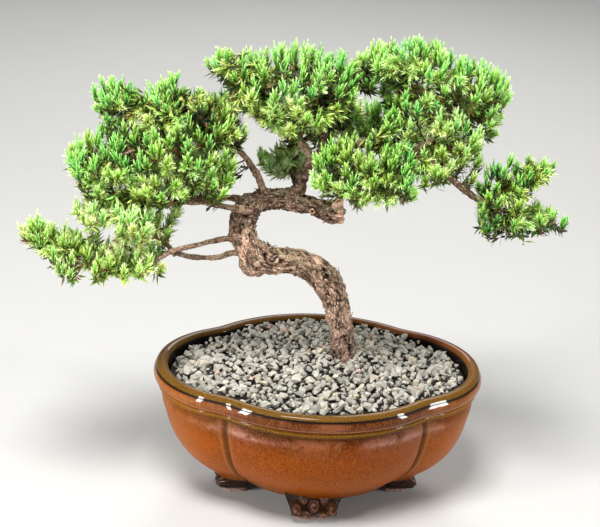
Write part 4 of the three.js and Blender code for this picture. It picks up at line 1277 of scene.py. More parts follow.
def make_trunk():
    """The trunk with its loose flakes and its hollow stub, and the numbers that its finish reads. The
    stub is painted darkest in its hollow, as painted shade, and pale along its lip."""
    rng = np.random.default_rng(23)
    rings, outward, along, skin, stub, (relief, lichen, fresh, number) = grow_trunk()
    small = shed_flakes(rng, rings, outward, along, 900, (1.0, 2.6), 1.1)
    large = shed_flakes(rng, rings, outward, along, 200, (2.0, 4.4), 1.7)
    all_points, all_faces = join_parts([skin, small, large, stub])
    loose = (len(small[0]) + len(large[0])) // FLAKE_POINTS
    flake_relief = np.repeat(rng.uniform(0.3, 1.0, loose), FLAKE_POINTS)
    flake_number = np.repeat(rng.uniform(0, 1, loose), FLAKE_POINTS)
    flake_plain = np.zeros(FLAKE_POINTS * loose)
    ring_height = np.repeat(np.array(STUB_PROFILE)[:, 1], STUB_COLUMNS)
    ring_relief = np.append(fade(ring_height, -0.4, 0.9), [0, 0])
    ring_plain = np.zeros(len(ring_relief))
    return make_piece("trunk_bark", all_points, all_faces, {
        "relief": np.concatenate([relief.ravel(), [0.5, 0.5], flake_relief, ring_relief]),
        "upward": np.concatenate([lichen.ravel(), [0, 0], flake_plain + 0.3, ring_plain]),
        "fresh": np.concatenate([fresh.ravel(), [0, 0.4], flake_plain, 0.34 * ring_relief]),
        "scale": np.concatenate([number.ravel(), [0.5, 0.5], flake_number, ring_plain + 0.3]),
    })


trunk = make_trunk()
print("trunk points:", len(trunk.data.vertices))

# %% [markdown]
# Old juniper bark is grey on its scales and nearly black between them, and that black is deepened
# with painted shade. Its colour comes from the same numbers that shaped it, so a crack in the colour
# is always a crack in the form.


# %% Bark
def bark_finish():
    """Grey-brown plates over nearly black cracks, deepened with painted shade, darker high up, paler below
    and dull at the foot, with pale green lichen on what faces up, pinkish wood where the bark is torn,
    and pale specks that are partly fine grime and partly painted glints."""
    finish, tree, shader, place = new_finish("juniper_bark", Roughness=0.92, Specular_IOR_Level=0.2)
    relief = measured(tree, "relief")
    mottle = effect(tree, PATCHES, place, Scale=240.0, Contrast=2.6)
    fibres = effect(tree, PATCHES, stretched_place(tree, place, (1, 1, 0.25)), Scale=900.0, Contrast=3.0)
    scale = measured(tree, "scale")
    body = ramp(tree, scale, (0.1, "#5c3c2b"), (0.26, "#a57d62"), (0.38, "#6b4733"), (0.5, "#d8b296"),
                (0.6, "#835f48"), (0.72, "#f2cfb2"), (0.84, "#926850"), (0.95, "#4c3325"))
    body = wash(tree, body, "#4a3226", mottle, 0.55)
    body = wash(tree, body, "#dcc0a4", fibres, 0.4)
    height = add_node(tree, "SeparateXYZ", Vector=place).outputs["Z"]
    body = wash(tree, body, "#e2bda6", rising(tree, height, 0.15, 0.115), 0.6)
    body = wash(tree, body, "#472e1c", rising(tree, height, 0.15, 0.2), 0.63)
    body = wash(tree, body, "#553d31", rising(tree, height, 0.128, 0.116), 0.72)
    upward = reckon(tree, "MULTIPLY", measured(tree, "upward"), 0.75)
    lichen = effect(tree, PATCHES, place, Scale=110.0, Contrast=9.0)
    body = wash(tree, body, "#a7a57c", upward, reckon(tree, "SUBTRACT", lichen, 0.3))
    body = wash(tree, body, "#f2c4a6", measured(tree, "fresh"))
    grit = effect(tree, SPECKS, place, Scale=430.0, Size=0.36)
    body = wash(tree, body, "#33201a", grit, 0.5)
    # Pale specks along the fibres: partly fine grime on the bark, partly painted glints of light on flakes.
    moved = add_node(tree, "Mapping", Vector=place, Location=(0.3, 0.2, 0.1)).outputs[0]
    dust_and_glints = effect(tree, SPECKS, moved, Scale=560.0, Size=0.33)
    body = wash(tree, body, "#f0d6bf", dust_and_glints, fibres)
    # Cracks and hollows go nearly black: the bark's own dark, deepened with painted shade.
    crack = ramp(tree, relief, (0.1, "#ffffff"), (0.4, "#c4c4c4"), (0.58, "#303030"), (0.76, "#000000"))
    body = wash(tree, body, "#1a0e09", crack)
    tree.links.new(body, shader.inputs["Base Color"])
    bump(tree, shader, fibres, 0.5, 0.9)
    return finish


BARK = bark_finish()
put_in_place(trunk, BARK, "bark", "trunk")

# %% [markdown]
# Branches are limbs too, with finer bark. Each one flares where it leaves its parent, carries small
# swellings where twigs once left it, and starts inside the parent, so that no gap shows.


# %% Branches
BRANCH_SIDES, SIDE_TWIG_SIDES = 16, 8
BRANCH_SPACING = 1.15
FLARE = {"branch_front": 0.1}
# How pale each branch is, which also adds lichen: partly paler grey bark, partly painted light that lightens
# branches lying in the crown's shade.
PALE_AND_LIT = {"branch_crown_left": 0.3, "branch_low_left_upper": 0.12, "branch_front": 0.6,
            "branch_high_left_front": 0.3, "branch_high_left_rear": 0.25, "branch_rising_left": 0.35}


def limb_skin(rows, sides, flare, pale_and_lit, seed):
    """One limb with its measures: radius from its line, a collar at the base that fades within a few
    millimetres, swollen nodes along it and fine bark. A paler limb also takes more of the grey lichen;
    how pale it is stands partly for painted light on branches that lie in the crown's shade."""
    line = smooth_line(rows, BRANCH_SPACING)
    lead = line[0] - (line[1] - line[0]) * [3, 3, 3, 0]
    line = np.vstack([lead, (lead + line[0]) / 2, line])
    centre, radius, along, outward, length = limb_rings(line, sides)
    nodes = 0.16 * np.maximum(0, lumps(np.stack([length, length * 0, length * 0], axis=-1), 5.0, seed))
    radius = radius * (1 + flare * np.exp(-length / 5.0) + nodes)
    angle = 2 * pi * np.arange(sides) / sides
    around = np.stack([np.cos(angle), np.sin(angle)], axis=-1)[None] * radius.mean()
    around = np.broadcast_to(around, (*outward.shape[:2], 2))
    reach_along = np.broadcast_to(length[:, None], outward.shape[:2])
    height, number = bark_height(around, reach_along, 1.5, seed)
    rest = centre[:, None] + outward * radius[:, None, None]
    uneven = 0.14 * radius[:, None] * lumps(rest, 3.0, seed + 5)
    move = height * np.minimum(0.15 * radius, 0.55)[:, None] + uneven
    rings = rest + outward * move[..., None]
    skin = closed_skin(rings, centre[0] - along[0] * 0.3, centre[-1] + along[-1] * 0.3)
    poles = [0.5, 0.5]
    measures = np.stack([
        np.append(0.7 + 0.38 * np.clip(height, -1.2, 1).ravel(), poles),
        np.append(0.6 * outward[..., 2].ravel() + 1.2 * pale_and_lit, poles),
        np.full(len(skin[0]), pale_and_lit),
        np.append(number.ravel(), poles),
    ])
    return skin, measures


def grow_branch(name, rows, seed):
    """A branch with its side twigs as one piece."""
    limbs = [limb_skin(rows, BRANCH_SIDES, FLARE.get(name, 0.45), PALE_AND_LIT.get(name, 0.0), seed)]
    limbs += [limb_skin(twig, SIDE_TWIG_SIDES, 0.2, 0.2, seed + 3) for twig in SIDE_TWIGS.get(name, [])]
    points, faces = join_parts([skin for skin, _ in limbs])
    measures = np.hstack([measure for _, measure in limbs])
    named = dict(zip(("relief", "upward", "fresh", "scale"), measures))
    piece = make_piece(name.replace("branch", "wood"), points, faces, named)
    put_in_place(piece, BARK, "bark", name)


for number, (name, rows) in enumerate(BRANCH_LINES.items()):
    grow_branch(name, rows, 40 + 7 * number)

# %% [markdown]
# A garden juniper carries two kinds of growth. Old twigs are brown and set with long, thin, spiky
# needles that turn olive and straw-coloured. Each ends in a fan of young shoots, which look like
# soft bright fingers because their short needles lie close to the stem. So the foliage is built as
# sprays: a twig from the nearest branch, a spiky stem, and eight shoots that reach the pad's surface
# and lean up to the light.


# %% Needles
NEEDLE_FACES = np.array([[0, 2, 1], [1, 2, 3], [0, 1, 3], [0, 3, 2]])
SHOOTS, SHOOT_NEEDLES, STEM_NEEDLES, INNER_NEEDLES = 8, 12, 14, 12
WHORL = 2 * pi / 3


def needle_points(base, stem, turn, tilt, length, width):
    """Four corners for each needle. It leaves its stem at the angle `tilt`, on the side given by
    `turn`, is widest a third of the way up and keeled below, and its point bends back a little."""
    side, front = square_frame(stem)
    outward = np.cos(turn)[:, None] * side + np.sin(turn)[:, None] * front
    across = np.cross(stem, outward)
    along = np.cos(tilt)[:, None] * stem + np.sin(tilt)[:, None] * outward
    inner = np.sin(tilt)[:, None] * stem - np.cos(tilt)[:, None] * outward
    length, width = length[:, None], width[:, None]
    middle = base + 0.38 * length * along + 0.3 * width * inner
    left = middle + across * width / 2
    right = middle - across * width / 2
    tip = base + length * (0.98 * along + 0.12 * stem)
    return np.stack([base, left, right, tip], axis=1)


def needle_faces(count):
    """The four faces of every needle."""
    return (NEEDLE_FACES[None] + 4 * np.arange(count)[:, None, None]).reshape(-1, 3)


def shoot_needles(rng, start, way, length, wild):
    """Needles of young shoots: whorls of three up the stem, closer and shorter towards the tip. The
    first of each shoot is its stem, and the last is its point. A wild shoot, from the shaded side
    of a pad, has longer needles that stand well out."""
    count = len(start)
    order = np.arange(SHOOT_NEEDLES)
    share = 0.03 + 0.72 * (order / (SHOOT_NEEDLES - 1))
    base = start[:, None] + way[:, None] * (share[None, :] * length[:, None])[..., None]
    turn = order[None] * WHORL + (order // 3)[None] * 1.05 + rng.uniform(0, 6, (count, 1))
    turn = turn + rng.normal(0, 0.25, turn.shape)
    wild = wild[:, None]
    tilt = (0.31 + 0.62 * wild) * (1 - 0.5 * share)[None] + rng.normal(0, 0.06, turn.shape)
    size = (2.6 + 2.2 * wild) * (1.1 - 0.35 * share)[None] * rng.uniform(0.85, 1.15, turn.shape)
    width = (1.0 - 0.3 * wild) * rng.uniform(0.85, 1.15, turn.shape)
    tilt[:, 0], size[:, 0], width[:, 0] = 0.0, 0.88 * length, 1.5
    tilt[:, -1] = 0.05
    stem = np.repeat(way, SHOOT_NEEDLES, axis=0)
    each = (values.ravel() for values in (turn, tilt, size, width))
    points = needle_points(base.reshape(-1, 3), stem, *each)
    growth_and_light = share[:, None] * 0.85 + np.array([-0.05, 0.1, 0.1, 0.34])
    growth_and_light[0] = [0.0, 0.3, 0.3, 0.95]
    return points, np.broadcast_to(growth_and_light, (count, SHOOT_NEEDLES, 4))


def spiky_needles(rng, start, way, length, number, size, width, growth_and_light):
    """Needles of old stems: long, thin and standing well out, in loose whorls. The last argument is the
    lightness of a needle's own foot, sides and point, for its colour: partly age, partly painted shade."""
    count = len(start)
    order = np.arange(number)
    share = (order + 0.5) / number
    base = start[:, None] + way[:, None] * (share[None, :] * length[:, None])[..., None]
    turn = order[None] * WHORL + rng.uniform(0, 6, (count, 1)) + rng.normal(0, 0.45, (count, number))
    tilt = 0.95 + rng.normal(0, 0.18, turn.shape)
    size = size * rng.uniform(0.75, 1.2, turn.shape)
    width = width * rng.uniform(0.8, 1.2, turn.shape)
    stem = np.repeat(way, number, axis=0)
    each = (values.ravel() for values in (turn, tilt, size, width))
    points = needle_points(base.reshape(-1, 3), stem, *each)
    return points, np.broadcast_to(np.array(growth_and_light)[None, None], (count, number, 4))


# %% [markdown]
# Where the sprays go comes from the solid pads. Points are scattered over a pad's skin and thinned
# until none are closer than the spacing. Places where the pad only meets its neighbour are skipped,
# because no light reaches them. A few more things are listed one by one: gaps that stay clear, pads
# with older needles, spots of dry needles, and painted sun and shade, that is pads and spots whose
# needles are coloured lighter or darker to stand for the light they get. The older pads' paler straw
# is partly painted light too.

# %% Places for sprays
SPRAY_SPACING = 8.6
TUFT_ROOM = 18.0
DEAD_SHARE = 0.08
UNDERSIDE_SUN, TUFT_SUN, YOUNG_SUN_SHARE = 0.18, 0.08, 0.5
# Pads whose needles are older and turn to straw. Straw is lighter than green, so these ages also stand for
# painted light on pads that lie in shade.
PAD_AGES = {"foliage_left_low": 0.25, "foliage_left_inner": 0.35, "foliage_left_crest": 0.1,
            "foliage_right_middle": 0.25, "foliage_crown_left": 0.05}
PAD_SUN = {"foliage_right_low": -0.13, "foliage_left_low": 0.12, "foliage_left_inner": 0.34,
           "foliage_right_middle": 0.18, "foliage_crown_left": -0.02, "foliage_left_front": 0.03}
# Ellipsoids that stay clear of sprays: x, y, z and the three half sizes.
CLEARINGS = np.array([
    [-106.5, -10.5, 202.5, 6, 15, 6], [-154, -10, 194, 6, 20, 6], [-145, -46, 168, 52, 20, 17],
    [112, -38, 203, 18, 16, 13], [2, -46, 238, 6, 17, 10],
])
# Balls of sun, or of shade below zero: x, y, z, radius and strength.
SUN_SPOTS = np.array([
    [-107, -12, 292, 11, -0.35], [-93, -18, 296, 10, -0.45], [-80, -12, 292, 10, -0.55],
    [-89, -24, 283, 15, -0.4], [-56, -15, 269, 9, -0.6], [-134, -8, 292, 8, -0.4],
    [-133, -28, 271, 9, -0.35], [20, -12, 296, 12, -0.5], [10, -25, 286, 12, -0.7],
    [34, -22, 286, 10, -0.35], [31, -48, 264, 14, -0.4], [72, -26, 276, 9, -0.6],
    [-8, -38, 263, 11, -0.4], [100, -28, 254, 9, -0.35], [129, -24, 249, 10, -0.5],
    [-137, -28, 209, 13, -0.3], [-191, -24, 199, 14, -0.35], [-108, -20, 204, 8, -0.4],
    [51, -38, 230, 9, -0.4], [101, -12, 259, 8, -0.4], [-29, 22, 240, 18, 1.1],
    [-34, -24, 299, 10, 0.4], [-7, -24, 300, 8, 0.35], [-109, -36, 263, 8, 0.3],
    [112, -10, 286, 8, 0.4], [131, -28, 210, 16, 0.3], [-133, -36, 191, 9, 0.3],
])
# Balls of old, dry needles, given in the same way.
DRY_SPOTS = np.array([
    [-92, -20, 287, 11, 0.5], [-72, -20, 278, 12, 0.5], [-132, -12, 275, 7, 0.6],
    [13, -32, 278, 10, 0.5], [-171, -26, 184, 16, 0.25], [-86, -12, 294, 8, 0.35],
])
FOLIAGE_PADS = sorted(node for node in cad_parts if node.startswith("foliage_"))


def pad_skin(node):
    """Corners of a pad's triangles in millimetres from the middle of the pot."""
    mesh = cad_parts[node].data
    mesh.calc_loop_triangles()
    points = np.zeros(len(mesh.vertices) * 3)
    mesh.vertices.foreach_get("co", points)
    corners = np.zeros(len(mesh.loop_triangles) * 3, np.int32)
    mesh.loop_triangles.foreach_get("vertices", corners)
    return ((points.reshape(-1, 3) - POT_MIDDLE) / MM)[corners.reshape(-1, 3)]


def surface_tree(triangles):
    """A search tree that finds the nearest point of a pad's skin."""
    corners = np.arange(len(triangles) * 3).reshape(-1, 3)
    return BVHTree.FromPolygons(triangles.reshape(-1, 3).tolist(), corners.tolist())


PAD_SKINS = {node: pad_skin(node) for node in FOLIAGE_PADS}
PAD_TREES = {node: surface_tree(skin) for node, skin in PAD_SKINS.items()}


def scatter(rng, node, spacing):
    """Places and outward directions on a pad's skin, by size of face, thinned to the spacing. Those
    that touch another pad or lie in a clearing are left out."""
    skin = PAD_SKINS[node]
    cross = np.cross(skin[:, 1] - skin[:, 0], skin[:, 2] - skin[:, 0])
    area = np.linalg.norm(cross, axis=1)
    tries = int(area.sum() / 2 / spacing**2 * 14)
    face = rng.choice(len(skin), tries, p=area / area.sum())
    a, b = rng.uniform(0, 1, (2, tries, 1))
    over = a + b > 1
    a, b = np.where(over, 1 - a, a), np.where(over, 1 - b, b)
    places = skin[face, 0] * (1 - a - b) + skin[face, 1] * a + skin[face, 2] * b
    facing = unit(cross[face])
    others = [tree for name, tree in PAD_TREES.items() if name != node]
    chosen = []
    for k in range(tries):
        if chosen and np.min(np.sum((places[chosen] - places[k]) ** 2, axis=1)) < spacing**2:
            continue
        if any(tree.find_nearest(places[k].tolist(), 1.3)[0] is not None for tree in others):
            continue
        from_clearings = (places[k] - CLEARINGS[:, :3]) / CLEARINGS[:, 3:]
        if np.min(np.sum(from_clearings**2, axis=1)) < 1:
            continue
        chosen.append(k)
    return places[chosen], facing[chosen]


TUFTS = {
    "foliage_crown_left": [[11, 8, 301, 9, 20, 7], [2, 4, 285, 8, 22, 8], [-71, -4, 285, 10, 18, 7],
                           [-49, -6, 280, 9, 20, 6], [-27, 0, 303, 7, 14, 9], [10, 2, 312, 7, 9, 6]],
    "foliage_crown_right": [[24, 8, 304, 10, 20, 6], [34, 4, 294, 7, 20, 8], [36, -14, 279, 7, 14, 12]],
    "foliage_left_crest": [[-135, 0, 272, 8, 14, 5], [-121, -8, 272, 8, 18, 7], [-104, -12, 274, 8, 20, 8],
                           [-95, -8, 287, 8, 16, 5], [-144, 2, 266, 7, 12, 5], [-126, 0, 267, 7, 10, 6]],
    "foliage_left_front": [[-132, -14, 236, 6, 18, 9], [-85, -10, 287, 9, 18, 6], [-121, -14, 265, 8, 20, 6],
                           [-132, -2, 246, 6, 10, 6], [-116, -4, 236, 6, 12, 6]],
    "foliage_left_inner": [[-148, -12, 221, 12, 20, 6], [-122, -16, 221, 10, 20, 5],
                           [-103, -12, 216, 6, 8, 4], [-140, -28, 191, 9, 8, 5],
                           [-127, -30, 190, 9, 8, 5]],
    "foliage_right_low": [[139, -20, 251, 8, 12, 6], [131, -22, 240, 7, 12, 6], [120, -24, 230, 7, 13, 5],
                          [120, -19, 211, 9, 10, 6], [135, -22, 212, 7, 10, 5], [145, -21, 219, 6, 8, 4]],
    "foliage_rear_tuft": [[-19, 28, 241, 10, 12, 7], [-40, 30, 235, 7, 10, 5]],
}


def tuft_places(node, taken, spacing):
    """Places on small extra tufts, given as ellipsoids. Turned by the golden angle at every step, the
    points of a spiral spread evenly over a ball, which is then stretched. Those inside a pad or
    near a place already taken are dropped."""
    all_places, all_facing = [], []
    for lobe in np.array(TUFTS.get(node, np.zeros((0, 6))), float):
        size = lobe[3:]
        area = 4 * pi * (((size[0] * size[1]) ** 1.6 + (size[0] * size[2]) ** 1.6
                          + (size[1] * size[2]) ** 1.6) / 3) ** (1 / 1.6)
        number = max(5, int(area / spacing**2))
        step = np.arange(number) + 0.5
        level, turn = 1 - 2 * step / number, step * pi * (1 + 5**0.5)
        reach = np.sqrt(1 - level**2)
        ball = np.stack([np.cos(turn) * reach, np.sin(turn) * reach, level], axis=-1)
        places = lobe[:3] + ball * size
        facing = unit(ball / size)
        for place, way in zip(places, facing):
            spot, normal, _, _ = PAD_TREES[node].find_nearest(Vector(place))
            inside = (Vector(place) - spot).dot(normal) < -1.5
            close = [*taken, *all_places]
            if inside or np.min(np.linalg.norm(np.array(close) - place, axis=1)) < 0.7 * spacing:
                continue
            all_places.append(place)
            all_facing.append(way)
    return np.reshape(all_places, (-1, 3)), np.reshape(all_facing, (-1, 3))


# %% [markdown]
# A twig joins each spray to the wood. It leaves the nearest point of a branch, bends once and comes
# into the spray from below, so nothing hangs in the air and the inside of the tree fills with twigs.


# %% Twigs
LIMB_POINTS = [smooth_line(rows, 2.0)[len(rows):, :3] for rows in BRANCH_LINES.values()]
TWIG_POINTS = [smooth_line(rows, 2.0)[3:, :3] for twigs in SIDE_TWIGS.values() for rows in twigs]
WOOD_POINTS = np.vstack(LIMB_POINTS + TWIG_POINTS)
wood_search = KDTree(len(WOOD_POINTS))
for number, point in enumerate(WOOD_POINTS):
    wood_search.insert(point, number)
wood_search.balance()
print("places where a twig may start:", len(WOOD_POINTS))


def twig_rings(start, bend, end, tip, thick, thin):
    """Three-sided rings along a curve from `start` past `bend` to `end`, then straight to `tip`."""
    t = np.linspace(0, 1, 6)[None, :, None]
    curve = (1 - t) ** 2 * start[:, None] + 2 * t * (1 - t) * bend[:, None] + t**2 * end[:, None]
    curve = np.concatenate([curve, tip[:, None]], axis=1)
    along = unit(np.gradient(curve, axis=1))
    side, front = square_frame(unit(tip - start))
    side = unit(np.cross(along, np.cross(side[:, None], along)))
    front = np.cross(along, side)
    radius = np.linspace(0, 1, 7)[None, :, None] * (thin - thick)[:, None, None] + thick[:, None, None]
    angle = WHORL * np.arange(3)[:, None]
    spokes = np.cos(angle) * side[:, :, None] + np.sin(angle) * front[:, :, None]
    return curve[:, :, None] + spokes * radius[..., None]


# %% [markdown]
# Now a whole pad. A spray's axis lies between the way the skin faces and straight up, and below the
# pad it turns outward instead. Each spray and each shoot then gets its own tint, because no two
# tufts of the real tree have quite the same green: bluish on the shaded faces, yellow-green at the
# tips, and straw or brown inside and underneath.


# %% Grow the foliage
def spray_axes(rng, places, facing, middle):
    """The way each spray grows: its facing and up, or outward from the middle for those below."""
    below = fade(-facing[:, 2:3], 0.15, 0.6)
    outward = unit((places - middle) * [1, 1, 0.2])
    growing = 0.62 * facing + (1 - below) * np.array([0, 0, 0.75]) + below * 0.75 * outward
    return unit(growing + rng.normal(0, 0.16, places.shape))


def pad_room(node, places, axes):
    """How deep the pad is behind each place, at most 30 mm, found with a ray into the pad."""
    room = []
    for place, axis in zip(places, axes):
        hit = PAD_TREES[node].ray_cast(Vector(place - axis * 0.5), Vector(-axis), 30.0)
        room.append(30.0 if hit[0] is None else hit[3])
    return np.array(room)


def from_spots(places, spots):
    """What all the spots together give each place. Each spot fades as a bell curve of the distance,
    with front-to-back distance counting less than half."""
    away = (places[:, None] - spots[:, :3]) * [1, 0.4, 1]
    return np.exp(-np.sum(away**2, axis=-1) / spots[:, 3] ** 2) @ spots[:, 4]


def grow_pad(node, seed):
    """All the sprays of one pad as one mesh: twigs first, then needles."""
    rng = np.random.default_rng(seed)
    places, facing = scatter(rng, node, SPRAY_SPACING)
    tufts, tuft_facing = tuft_places(node, places, SPRAY_SPACING)
    middle = PAD_SKINS[node].reshape(-1, 3).mean(axis=0)
    room = pad_room(node, places, spray_axes(rng, places, facing, middle))
    room = np.append(room, np.full(len(tufts), TUFT_ROOM))
    places, facing = np.vstack([places, tufts]), np.vstack([facing, tuft_facing])
    axes = spray_axes(rng, places, facing, middle)
    count = len(places)
    scale = np.clip(room / 26, 0.55, 1.0)
    stem_length = 8.0 * scale
    finger = (10.6 - 1.6 * fade(-facing[:, 2], -0.6, 0.45)) * scale**0.5
    underneath = fade(-facing[:, 2], 0.3, 0.8)
    ends = places + axes * (rng.uniform(-3.0, 1.8, count) - 3.8 * underneath)[:, None]
    base = ends - axes * (stem_length + finger * 0.92)[:, None]

    side, front = square_frame(axes)
    order = np.arange(SHOOTS)
    share = 0.2 + 0.8 * order / (SHOOTS - 1)
    wild = np.clip(fade(-facing[:, 2], -0.6, 0.45) + 0.8 * lumps(places, 16, 73), 0, 1)
    open_share = (0.62 + 0.38 * wild)[:, None]
    opening = (0.95 - 0.83 * (order / (SHOOTS - 1)) ** 1.2)[None] * open_share
    spread = opening + rng.normal(0, 0.1, (count, SHOOTS))
    turn = order[None] * 2.4 + rng.uniform(0, 6, (count, 1)) + rng.normal(0, 0.3, (count, SHOOTS))
    start = base[:, None] + axes[:, None] * (share[None] * stem_length[:, None])[..., None]
    sideways = np.cos(turn)[..., None] * side[:, None] + np.sin(turn)[..., None] * front[:, None]
    way = np.cos(spread)[..., None] * axes[:, None] + np.sin(spread)[..., None] * sideways
    lift = (0.5 * (facing[:, 2] > -0.3))[:, None, None]
    way = unit(way + lift * np.array([0, 0, 1.0]))
    length = finger[:, None] * rng.uniform(0.75, 1.15, (count, SHOOTS))
    young, young_growth = shoot_needles(
        rng, start.reshape(-1, 3), way.reshape(-1, 3), length.ravel(), np.repeat(wild, SHOOTS))
    old, old_growth = spiky_needles(rng, base - axes * 2.0, axes, stem_length + 4, STEM_NEEDLES, 4.9, 0.9,
                                    [0.05, 0.3, 0.3, 0.7])
    anchors = np.array([WOOD_POINTS[wood_search.find(point)[1]] for point in base])
    bend = anchors + (base - anchors) * 0.55 - axes * np.linalg.norm(base - anchors, axis=1)[:, None] * 0.22
    into = unit(base - bend)
    # Inner needles are wide and coloured nearly black-green: painted shade inside the pad.
    inner, inner_growth = spiky_needles(rng, base - into * 19 * scale[:, None], into, 18 * scale,
                                        INNER_NEEDLES, 7.0, 2.0, [0.0, 0.04, 0.04, 0.18])

    tint = 0.5 + 0.42 * lumps(places, 22, 71) - 0.25 * wild + rng.normal(0, 0.16, count)
    old_patch = np.maximum(lumps(places, 15, 72) - 0.3, 0)
    age = 0.04 + 0.55 * wild + 0.4 * old_patch + PAD_AGES.get(node, 0.0)
    age = np.clip(age + from_spots(places, DRY_SPOTS), 0, 0.9)
    shoot_tint = (tint[:, None] + rng.normal(0, 0.1, (count, SHOOTS))).ravel()
    shoot_age = (age[:, None] * rng.uniform(0.3, 1.1, (count, SHOOTS))).ravel()
    old_age = np.clip(0.45 + 0.3 * age[:, None] + rng.normal(0, 0.16, (count, STEM_NEEDLES)), 0, 1)
    inner_age = np.clip(0.4 + rng.normal(0, 0.2, (count, INNER_NEEDLES)), 0, 0.9)
    inner_age = np.where(rng.uniform(0, 1, inner_age.shape) < DEAD_SHARE, 1.0, inner_age)

    twigs = twig_rings(anchors, bend, base, base + axes * stem_length[:, None] * 0.8,
                       0.5 + 0.012 * np.linalg.norm(base - anchors, axis=1), np.full(count, 0.3))
    twig_points, twig_faces = many_tubes(twigs)
    needle_sets = [young.reshape(-1, 3), old.reshape(-1, 3), inner.reshape(-1, 3)]
    needles = np.vstack(needle_sets)
    points = np.vstack([twig_points, needles])
    faces = twig_faces + [needle_faces(len(needles) // 4) + len(twig_points)]
    in_tuft = np.arange(count) >= count - len(tufts)
    # Painted sun and shade: by pad, on faces turned down, on tufts and in the listed spots, each spray's
    # needles are coloured lighter or darker.
    from_below = UNDERSIDE_SUN * fade(-facing[:, 2], -0.1, 0.7)
    sun = PAD_SUN.get(node, 0.0) + from_below + TUFT_SUN * in_tuft + from_spots(places, SUN_SPOTS)
    sun = sun[:, None, None]
    young_growth = young_growth + YOUNG_SUN_SHARE * np.repeat(sun, SHOOTS, axis=0)
    on_twigs = np.zeros(len(twig_points))
    piece = make_piece(node.replace("foliage", "sprays"), points, faces, {
        "growth_and_light": np.concatenate([on_twigs, young_growth.ravel(), (old_growth + sun).ravel(),
                                  (inner_growth + sun).ravel()]),
        "tint": np.concatenate([on_twigs, np.repeat(shoot_tint, SHOOT_NEEDLES * 4),
                                np.repeat(tint, STEM_NEEDLES * 4), np.repeat(tint, INNER_NEEDLES * 4)]),
        "age": np.concatenate([on_twigs, np.repeat(shoot_age, SHOOT_NEEDLES * 4),
                               np.repeat(old_age.ravel(), 4), np.repeat(inner_age.ravel(), 4)]),
    }, smooth=False)
    piece.data.materials.append(TWIG)
    piece.data.materials.append(LEAF)
    wood_faces = sum(len(part) for part in twig_faces)
    index = (np.arange(len(piece.data.polygons)) >= wood_faces).astype(np.int32)
    piece.data.polygons.foreach_set("material_index", index)
    put_in_place(piece, None, "foliage", node)
    return count


def twig_finish():
    """Thin brown bark, lighter and redder than the old wood, with fine mottling."""
    finish, tree, shader, place = new_finish("twig_bark", Roughness=0.85, Specular_IOR_Level=0.25)
    mottle = effect(tree, PATCHES, place, Scale=700.0, Contrast=3.0)
    tree.links.new(wash(tree, "#35271b", "#705238", mottle), shader.inputs["Base Color"])
    bump(tree, shader, mottle, 0.15, 0.6)
    return finish


def leaf_finish():
    """Green from the shaded foot of a shoot to its bright tip, shifted to blue-green or yellow-green
    by the tint, and to straw and brown by age. The lightness that the ramps read is partly painted
    light and shade: a darker foot, nearly black inner needles, and sunnier or shadier pads and spots."""
    finish, tree, shader, place = new_finish("juniper_needles", Roughness=0.5, Specular_IOR_Level=0.4)
    growth_and_light, tint, age = (measured(tree, name) for name in ("growth_and_light", "tint", "age"))
    mottle = effect(tree, PATCHES, place, Scale=260.0, Contrast=2.2)
    warm = ramp(tree, growth_and_light, (0.0, "#142a04"), (0.16, "#38600e"), (0.35, "#7cb22e"), (0.65, "#b8f062"),
                (1.0, "#f0ffb8"))
    cool = ramp(tree, growth_and_light, (0.0, "#0c2a0b"), (0.16, "#225f24"), (0.35, "#4eae52"), (0.65, "#8af07e"),
                (1.0, "#d8ffbc"))
    green = blend(tree, tint, warm, cool)
    straw = ramp(tree, growth_and_light, (0.0, "#2a3008"), (0.16, "#646a1e"), (0.35, "#b2b648"), (0.65, "#eaee92"),
                 (1.0, "#fffcd8"))
    leaf = wash(tree, green, straw, age, 1.15)
    leaf = wash(tree, leaf, "#6e4622", reckon(tree, "GREATER_THAN", age, 0.93))
    leaf = wash(tree, leaf, "#2f5a22", mottle, 0.2)
    tree.links.new(leaf, shader.inputs["Base Color"])
    bump(tree, shader, mottle, 0.1, 0.3)
    return finish


TWIG = twig_finish()
LEAF = leaf_finish()
sprays = [grow_pad(node, 100 + number) for number, node in enumerate(FOLIAGE_PADS)]
print("sprays:", sum(sprays), "triangles added in all:", sum(made))

# %% [markdown]
# The set is plain: a pale floor that runs far enough to be the background too, a soft pale sky for
# fill, and four soft lamps. A square one stands above and a wide one behind. The two narrow upright
# ones, at the sides in front, are what the glaze mirrors as white patches on its collar.

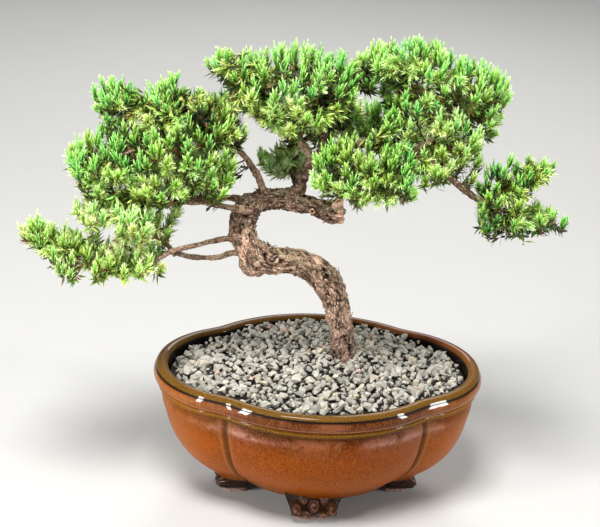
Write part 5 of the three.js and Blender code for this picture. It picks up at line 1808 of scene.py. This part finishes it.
# %% Floor and lights
FLOOR_SIZE, FLOOR_LEVEL = 12.0, -0.05
TREE_MIDDLE = (0, 0, 170)
LAMPS = [
    ("top_lamp", (-250, -600, 1500), 0.5, 0.5, 38.0),
    ("left_lamp", (-1100, -640, 470), 0.15, 0.5, 17.0),
    ("right_lamp", (1120, -560, 400), 0.11, 0.42, 9.0),
    ("back_lamp", (200, 1200, 1200), 0.7, 0.7, 16.0),
]
SKY_COLOUR, SKY_STRENGTH = "#e6e9ec", 0.27


def make_floor():
    """A level square with a very light, even plaster finish."""
    half = FLOOR_SIZE / 2 / MM
    corners = np.array([[-half, -half, FLOOR_LEVEL], [half, -half, FLOOR_LEVEL],
                        [half, half, FLOOR_LEVEL], [-half, half, FLOOR_LEVEL]])
    floor = make_piece("floor", corners, [np.array([[0, 1, 2, 3]])])
    finish, tree, shader, place = new_finish("pale_floor", Roughness=0.8, Specular_IOR_Level=0.2)
    share = effect(tree, PATCHES, place, Scale=6.0, Contrast=1.0)
    tree.links.new(blend(tree, share, "#aeadaa", "#b4b3b0"), shader.inputs["Base Color"])
    floor.data.materials.append(finish)


def soft_lamp(name, place, target, width, height, power):
    """An oblong area lamp that faces its target, so its light falls off softly over the tree."""
    lamp = bpy.data.objects.new(name, bpy.data.lights.new(name, "AREA"))
    lamp.data.shape = "RECTANGLE"
    lamp.data.size = width
    lamp.data.size_y = height
    lamp.data.energy = power
    lamp.location = Vector(to_metres(place))
    away = Vector(to_metres(target)) - lamp.location
    lamp.rotation_euler = away.to_track_quat("-Z", "Y").to_euler()
    bpy.context.scene.collection.objects.link(lamp)


make_floor()
for name, place, width, height, power in LAMPS:
    soft_lamp(name, place, TREE_MIDDLE, width, height, power)
world = bpy.data.worlds.new("soft_sky")
world.use_nodes = True
sky = world.node_tree.nodes["Background"]
sky.inputs["Color"].default_value = tone(SKY_COLOUR)
sky.inputs["Strength"].default_value = SKY_STRENGTH
bpy.context.scene.world = world
bpy.context.scene.view_settings.view_transform = "Standard"
